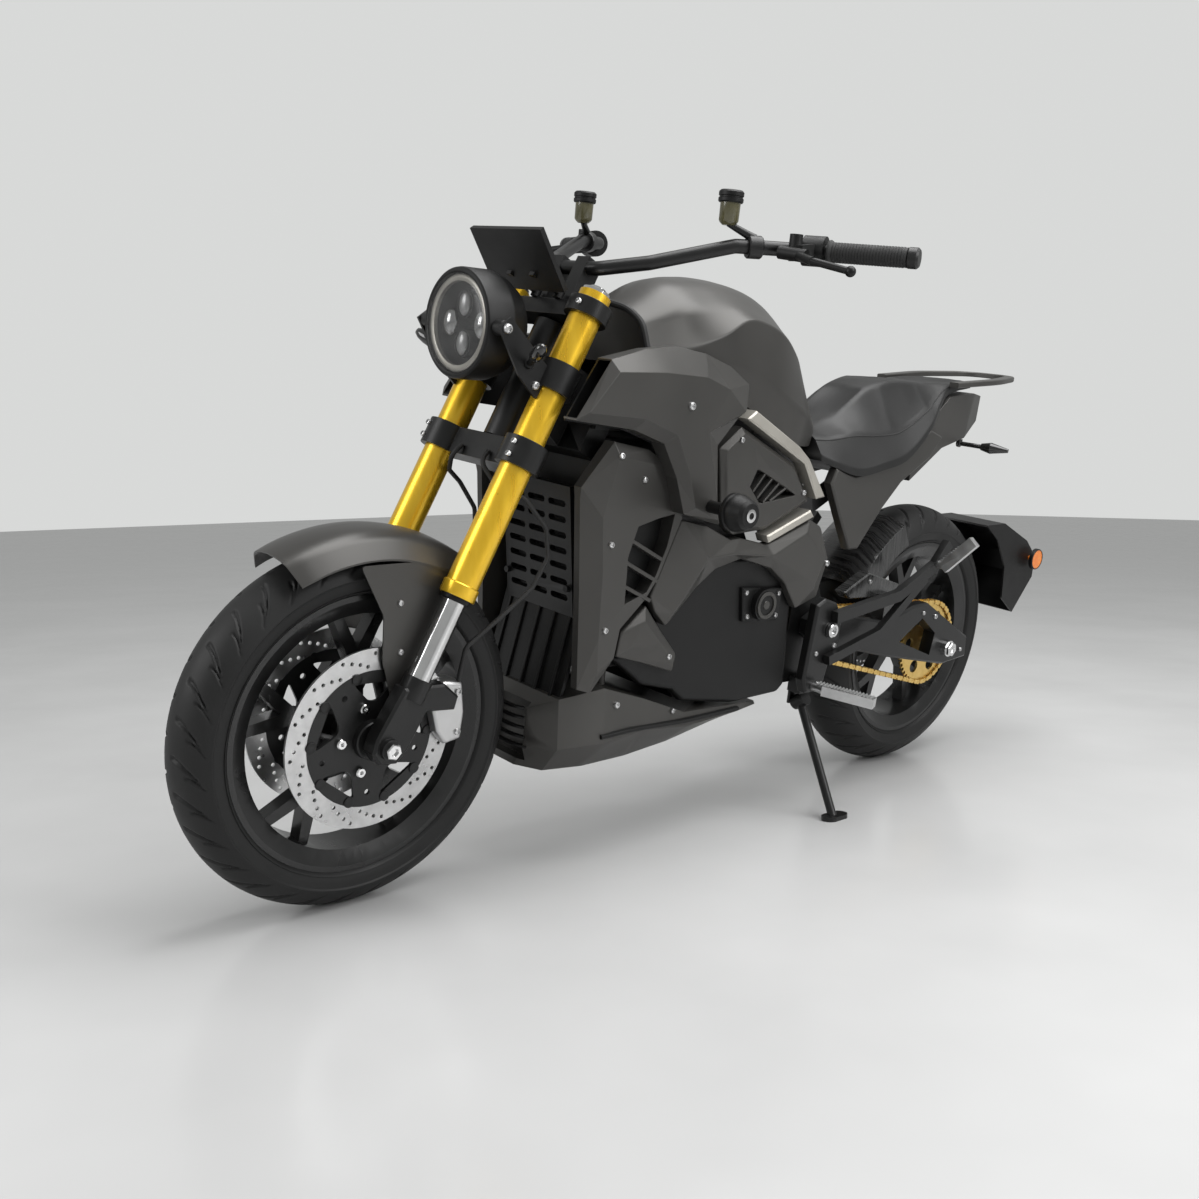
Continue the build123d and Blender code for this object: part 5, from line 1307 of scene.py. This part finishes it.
# %% Cups, grips and fork caps
CUP = [(0, 0.01), (0, 10), (4, 14.5), (7, 16.5), (37, 17), (37, 0.01)]
CAP = [
    (36, 0.01), (36, 19.5), (38, 21), (43, 21), (44, 19.6), (46, 19.6), (47, 21), (53, 21), (56, 18),
    (56, 0.01),
]
BAR_ELBOW, BAR_BEND, BAR_RUN = Vector((196, -180, 1118)), Vector((246, -90, 1123)), Vector((178, 76, 0))
cups, caps, stalks = [], [], []
for side in (1, -1):
    mirror = Vector((side, 1, 1))
    foot = Vector((184, -190, 1150)) * mirror
    on_tube = (BAR_ELBOW + (BAR_BEND - BAR_ELBOW) * 0.3 + Vector((0, 0, 14))) * mirror
    cups.append((CUP, foot, (0, 0, 1)))
    caps.append((CAP, foot, (0, 0, 1)))
    run = foot + Vector((0, 0, 3)) - on_tube
    stalks.append(([(-2, 0.01), (-2, 8), (8, 7), (run.length, 5), (run.length, 0.01)], on_tube, run))
    along = (BAR_BEND - BAR_ELBOW) * mirror
    clamp = [(0, 12.4), (0, 17.5), (2, 19), (23, 19), (25, 17.5), (25, 12.4), (0, 12.4)]
    stalks.append((clamp, (BAR_ELBOW + (BAR_BEND - BAR_ELBOW) * 0.2) * mirror, along))
lathe("reservoir_cups", "steering", "reservoir_olive", *cups, stands_for=["reservoirs"])
lathe("reservoir_caps", "steering", "black_plastic", *caps, sharp=30)
lathe("reservoir_stalks", "steering", "black_metal", *stalks)


def on_bar(share, side=1):
    """A place along the grip end of the bar."""
    return (BAR_BEND + BAR_RUN * share) * Vector((side, 1, 1))


ribs, ends, GRIP_START = [], [], 0.32
grip_length = (on_bar(1) - on_bar(GRIP_START)).length
for side in (1, -1):
    rows = [(0, 12.4), (0, 19.5), (3, 20), (6, 18)]
    for k in range(24):
        start = 8 + k * (grip_length - 12) / 24
        rows += [(start, 15.8), (start + 0.9, 16.7), (start + 3.6, 16.7), (start + 4.4, 15.8)]
    rows += [(grip_length, 16.4), (grip_length, 12.4), (0, 12.4)]
    run = on_bar(1, side) - on_bar(GRIP_START, side)
    ribs.append((rows, on_bar(GRIP_START, side), run))
    ends.append((
        [(0, 0.01), (0, 15), (1.5, 17.2), (15, 17.2), (18.5, 14), (18.5, 0.01)],
        on_bar(1, side) + run.normalized() * 0.6, run,
    ))
lathe("ribbed_grips", "steering", "grip_rubber", *ribs, stands_for=["grips"], sharp=30)
lathe("bar_ends", "steering", "black_metal", *ends)
soften("bar_controls", 2.0)


RAKE, FORK_SPACING, LEG_BEHIND_AXLE = math.radians(25.7), 105, 6.7


def on_fork(x, behind, height):
    """A place in upright millimetres from its distance behind the axle line and its height up the fork."""
    cosine, sine = math.cos(RAKE), math.sin(RAKE)
    return Vector((
        x, FRONT_AXLE.y + behind * cosine + height * sine, FRONT_AXLE.z - behind * sine + height * cosine,
    ))


fork_axis = on_fork(0, 0, 1) - on_fork(0, 0, 0)
fork_caps, fork_rings, seals = [], [], []
for side in (1, -1):
    at = lambda height: on_fork(FORK_SPACING * side, LEG_BEHIND_AXLE, height)
    fork_caps.append((
        [(0, 0.01), (0, 24.5), (5, 24.5), (7, 22), (7, 13), (12, 13), (12, 6), (8, 5), (8, 0.01)], at(796.2),
        fork_axis,
    ))
    fork_rings.append((
        [(0, 27.1), (0, 29), (1.5, 30), (20, 30), (22, 28.4), (22, 27.1), (0, 27.1)], at(258.5), fork_axis,
    ))
    seals.append(([(0, 19.3), (0, 24), (2, 25.5), (8, 25.5), (8, 19.3), (0, 19.3)], at(250.4), fork_axis))
lathe("fork_caps", "steering", "polished_steel", *fork_caps)
lathe("fork_step_rings", "steering", "gold_anodised", *fork_rings)
lathe("fork_seals", "steering", "black_plastic", *seals)

# %% [markdown]
# ## Screws
# The same button head screw is used all over the machine, so one small turned screw is made
# and a tree of nodes sets it on a list of places. Each place carries two numbers of its own:
# its size and the way it faces. The tree only reads them, so one list per body is enough.

# %% The screw tree
screw_tree, screw_in, put, maths, close = nodes_tree(
    "screw_set", [("Screw", "Object"), ("Scale", "Float"), ("Finish", "Material")],
)
facing = put("GeometryNodeInputNamedAttribute", settings=[("data_type", "FLOAT_VECTOR")], Name="facing")
size = put("GeometryNodeInputNamedAttribute", settings=[("data_type", "FLOAT")], Name="size")
scaled = maths("MULTIPLY", size.outputs["Attribute"], screw_in["Scale"])
aligned = put("FunctionNodeAlignRotationToVector", [("Vector", facing.outputs["Attribute"])], [("axis", "X")])
source = put("GeometryNodeObjectInfo", [("Object", screw_in["Screw"])])
spots = put("GeometryNodeMeshToPoints", [("Mesh", screw_in["Geometry"])])
placed = put(
    "GeometryNodeInstanceOnPoints",
    [
        ("Points", spots.outputs[0]), ("Instance", source.outputs["Geometry"]),
        ("Rotation", aligned.outputs[0]), ("Scale", scaled),
    ],
)
close(placed.outputs[0])


HEAD = [(-0.35, 0.01), (-0.35, 1.0), (0.3, 1.0), (0.55, 0.86), (0.62, 0.6), (0.2, 0.52), (0.2, 0.01)]
screw = facing_out(merged("screw", [turned(HEAD, (0, 0, 0), (1, 0, 0), 18)], Matrix()))
screw.data.shade_smooth()
screw.data.set_sharp_from_angle(angle=math.radians(40))


def screws(name, body, places, slot="peg_silver"):
    """Screws on both sides of a body: each place is (x, y, z), a radius and a facing."""
    both = []
    for place, radius, face_to in places:
        for mirror in (Vector((1, 1, 1)), Vector((-1, 1, 1))):
            both.append((Vector(place) * mirror, radius, Vector(face_to) * mirror))
    mesh = bpy.data.meshes.new(name)
    mesh.from_pydata([p for p, _, _ in both], [], [])
    mesh.attributes.new("size", "FLOAT", "POINT").data.foreach_set("value", [r for _, r, _ in both])
    mesh.attributes.new("facing", "FLOAT_VECTOR", "POINT").data.foreach_set(
        "vector", [c for _, _, f in both for c in f],
    )
    made = run_tree(
        object_from(name, mesh), screw_tree, {"Screw": screw, "Scale": 1.0, "Finish": FINISHES[slot]},
    )
    made.data.transform(PLACE)
    print(name, len(both))
    return declare(made, body, slot, sharp=40)


SIDE, AHEAD = (1, 0, 0), (0, -0.901, 0.434)
screws("body_screws", "chassis", [
    ((206.4, -251, 852), 7, SIDE), ((163.5, -359, 762), 5.5, (1, -0.2, 0.25)),
    ((164.8, -301, 722), 5.5, (1, 0.1, 0.25)), ((166, -365, 613), 5.5, SIDE), ((164.4, -358, 463), 5.5, SIDE),
    ((168.3, -71, 792), 5.5, SIDE), ((166.5, 128, 692), 5.5, SIDE), ((164.5, -194, 399), 5.5, SIDE),
    ((171, 226, 548), 6, SIDE), ((149, -297, 317), 6, (1, 0, 0.1)), ((148.5, -150, 285), 5, SIDE),
    ((148.6, 18, 498), 5, SIDE), ((148.6, 114, 490), 5, SIDE), ((148.6, 113, 446), 5, SIDE),
    ((148.6, 28, 450), 5, SIDE), ((144.5, 24, 798), 5, SIDE), ((144.5, 150, 706), 5, SIDE),
    ((174.3, 284, 372), 6, SIDE), ((174.3, 246, 294), 6, SIDE), ((174.3, 228, 360), 5, SIDE),
])
screws("front_screws", "steering", [
    ((112.4, -578, 950), 8, SIDE), ((112.4, -514, 866), 7, SIDE), ((76.2, -716, 520), 5, SIDE),
    ((76.2, -710, 440), 5, SIDE), (tuple(on_fork(118, -30, 496)), 5, AHEAD),
    (tuple(on_fork(118, -30, 518)), 5, AHEAD), (tuple(on_fork(118, -30, 766)), 5, AHEAD),
    ((90.4, -604, 366), 6, SIDE), ((90.4, -600, 296), 6, SIDE),
])
screws(
    "arm_screws", "chassis",
    [
        ((150.4, 690, 392), 6, SIDE), ((150.4, 640, 404), 5, SIDE), ((150.4, 820, 300), 5, SIDE),
        ((112.4, 470, 480), 5, SIDE),
    ],
)
bpy.data.objects.remove(screw)

# %% [markdown]
# ## Chain
# A roller chain is a loop of two kinds of link that take turns. The loop is drawn round the
# pitch circles of both sprockets, resampled to as many points as there are links, and the
# nodes set outer and inner links on every other point in turn.

# %% The chain tree
chain_tree, chain_in, put, maths, close = nodes_tree(
    "roller_chain", [
        ("Outer link", "Object"), ("Inner link", "Object"), ("Links", "Int"), ("Finish", "Material"),
    ]
)
line = put("GeometryNodeMeshToCurve", [(0, chain_in["Geometry"])])
even = put("GeometryNodeResampleCurve", [("Curve", line.outputs[0]), ("Count", chain_in["Links"])])
tangent = put("GeometryNodeInputTangent")
turned_to = put(
    "FunctionNodeAlignRotationToVector", [("Vector", tangent.outputs[0])],
    [("axis", "Y"), ("pivot_axis", "X")],
)
index = put("GeometryNodeInputIndex")
odd = maths("MODULO", index.outputs[0], 2)
even_turn = maths("SUBTRACT", 1, odd)
links = put("GeometryNodeJoinGeometry")
for socket, choice in (("Outer link", odd), ("Inner link", even_turn)):
    link = put("GeometryNodeObjectInfo", [("Object", chain_in[socket])])
    laid = put(
        "GeometryNodeInstanceOnPoints",
        [
            ("Points", even.outputs[0]), ("Selection", choice), ("Instance", link.outputs["Geometry"]),
            ("Rotation", turned_to.outputs[0]),
        ],
    )
    chain_tree.links.new(laid.outputs[0], links.inputs[0])
close(links.outputs[0])


def link_plates(x, thick, pin):
    """Two waisted plates, and the roller or pin at one end."""
    waist = [(-6.35, 5.6), (-3.2, 5.2), (0, 4.1), (3.2, 5.2), (6.35, 5.6)]
    tips = [(10.6, 3.6), (12, 0), (10.6, -3.6)]
    outline = [(p, q) for p, q in waist] + tips + [(-p, -q) for p, q in waist] + [(-p, -q) for p, q in tips]
    points, faces = plate(outline, [], x, x + thick)
    left = [(h, p, q) for p, q, h in points]
    group = both_sides(left, faces)
    return [
        group,
        turned(
            [(-pin[1], 0.01), (-pin[1], pin[0]), (pin[1], pin[0]), (pin[1], 0.01)], (0, -6.35, 0), (1, 0, 0),
            12,
        ),
    ]


outer_link = facing_out(merged("outer_link", link_plates(6.1, 2.0, (2.4, 8.6)), Matrix()))
inner_link = facing_out(merged("inner_link", link_plates(3.6, 2.0, (4.1, 3.6)), Matrix()))
CHAIN_PITCH, CHAIN_X = 12.7, 95
small, large = (Vector((202, 394)), 40.59), (REAR_AXLE.yz, 97.09)
run = large[0] - small[0]
slope, flare = math.atan2(run.y, run.x), math.asin((large[1] - small[1]) / run.length)
loop = []
for (centre, radius), first, last in (
    (large, math.pi / 2 + flare, -math.pi / 2 - flare),
    (small, -math.pi / 2 - flare, -3 * math.pi / 2 + flare),
):
    for k in range(61):
        bend = slope + first + (last - first) * k / 60
        loop.append((0, centre.x + radius * math.cos(bend), centre.y + radius * math.sin(bend)))
loop_mesh = bpy.data.meshes.new("chain_loop")
loop_mesh.from_pydata(loop, [(k, (k + 1) % len(loop)) for k in range(len(loop))], [])
length = sum((Vector(a) - Vector(b)).length for a, b in zip(loop, loop[1:] + loop[:1]))
link_count = 2 * round(length / CHAIN_PITCH / 2)
chain_made = run_tree(
    object_from("roller_chain", loop_mesh), chain_tree,
    {
        "Outer link": outer_link, "Inner link": inner_link, "Links": link_count,
        "Finish": FINISHES["gold_chain"],
    },
)
chain_made.data.transform(PLACE @ Matrix.Translation((CHAIN_X, 0, 0)))
declare(chain_made, "chassis", "gold_chain", ["chain"], sharp=30)
for helper in (outer_link, inner_link):
    bpy.data.objects.remove(helper)
print(
    "links:", link_count, "pitch:", round(length / link_count, 2), "triangles:",
    len(chain_made.data.polygons),
)
soften("rear_sprocket", 0.8)

# %% [markdown]
# ## Turned and coiled parts
# The frame sliders, the axle nuts and the pivot caps come off a lathe, and the shock's spring is
# a wire carried along a helix. A nut is a turned part with six sides.

# %% Sliders, nuts and caps
sliders, faces_of_sliders, nuts, pivots = [], [], [], []
SLIDER = [
    (0, 0.01), (0, 11), (136, 11), (137, 17), (143, 17), (144, 13), (147, 13), (148, 30), (151, 33),
    (157, 33), (159, 30), (162, 30), (164, 33), (170, 32.5), (173, 31), (188, 26.5), (193.5, 21),
    (193.5, 0.01),
]
for side in (1, -1):
    axis = (side, 0, 0)
    sliders.append((SLIDER, (106 * side, -176, 680), axis))
    faces_of_sliders.append((
        [(0, 0.01), (0, 11.5), (2, 11.5), (2.4, 10), (2.4, 6), (-1, 6), (-1, 0.01)], (299 * side, -176, 680),
        axis,
    ))
    nuts.append((
        [(0, 0.01), (0, 14), (8, 14), (10, 12), (10, 7), (6, 6.5), (6, 0.01)], (128 * side, *FRONT_AXLE.yz),
        axis,
    ))
    nuts.append((
        [(0, 0.01), (0, 17), (9, 17), (11, 15), (11, 9), (8, 8.5), (8, 0.01)], (162 * side, *REAR_AXLE.yz),
        axis,
    ))
    pivots.append((
        [(0, 0.01), (0, 14), (2, 15), (5, 15), (6.5, 13), (6.5, 8), (2, 7.5), (2, 0.01)],
        (180.2 * side, 262, 408), axis,
    ))
lathe("slider_bobbins", "chassis", "black_plastic", *sliders, stands_for=["frame_sliders"], sharp=28)
lathe("slider_bolts", "chassis", "polished_steel", *faces_of_sliders, sharp=30)
lathe("axle_nuts", "steering", "polished_steel", nuts[0], nuts[2], sharp=20, count=6)
lathe("rear_axle_nuts", "chassis", "polished_steel", nuts[1], nuts[3], sharp=20, count=6)
lathe("pivot_caps", "chassis", "polished_steel", *pivots, sharp=30)
port = [([(0, 20), (0, 27), (2.4, 27), (3, 26), (3, 21), (2.4, 20), (0, 20)], (160.8, 67, 472), (1, 0, 0))]
port.append(([(0, 0.01), (0, 9), (1.6, 8), (1.6, 0.01)], (160.8, 67, 472), (1, 0, 0)))
lathe("port_cap_ring", "chassis", "graphite_panel", *port)
rims = [([(0, 24.2), (0, 27), (8, 27), (10, 25.5), (10, 24.2), (0, 24.2)], (92, 1210, 486), (1, 0, 0))]
lathe("reflector_rim", "chassis", "black_plastic", *rims)

# %% Shock and its spring
foot, head = Vector((0, 352, 392)), Vector((0, 282, 642))
along = (head - foot).normalized()
damper = [(
    [
        (0, 0.01), (0, 12.9), (34, 12.9), (35, 30), (38, 30.8), (42, 30), (43, 17), (150, 17), (151, 9),
        (212, 9), (213, 30), (222, 30), (223, 13), (260, 12.9), (260, 0.01),
    ],
    foot, along,
)]
lathe("shock_damper", "chassis", "black_metal", *damper, stands_for=["rear_shock"])
side_way, other_way = Vector((1, 0, 0)), Vector((1, 0, 0)).cross(along)
COIL_STEPS, STEPS_A_TURN, COIL_START, COIL_LENGTH, COIL_RADIUS = 216, 24, 46, 164, 26
helix = []
for k in range(COIL_STEPS + 1):
    bend = k / STEPS_A_TURN * 2 * math.pi
    away = side_way * math.cos(bend) + other_way * math.sin(bend)
    helix.append(foot + along * (COIL_START + COIL_LENGTH * k / COIL_STEPS) + away * COIL_RADIUS)
coil = merged("shock_spring", [swept(helix, round_section(4.6, 10), tuple(along))])
declare(facing_out(coil), "chassis", "gold_anodised", sharp=60)

# %% Serrated pegs
teeth = []
for start, stop, width, rise in (
    ((184, 234, 300), (298, 271, 296), 22, 3.0), ((196, 604, 536), (240, 609, 580), 16, 3.0),
):
    start, stop = Vector(start), Vector(stop)
    away = (stop - start).normalized()
    across = Vector((0, 0, 1)).cross(away).normalized()
    up = away.cross(across)
    count = int((stop - start).length / 7)
    for k in range(count):
        place = start + away * (k + 0.5) * 7 + up * 0.6
        corners = [place - away * 2.6, place + away * 2.6, place + up * rise]
        half = across * width / 2
        points = [tuple(c - half) for c in corners] + [tuple(c + half) for c in corners]
        teeth.append(both_sides(points, [(0, 2, 1), (3, 4, 5), (0, 1, 4, 3), (1, 2, 5, 4), (2, 0, 3, 5)]))
serrations = merged("peg_teeth", teeth)
declare(facing_out(serrations), "chassis", "peg_silver", sharp=20)
soften("foot_pegs", 1.5)
soften("calipers", 3.0)
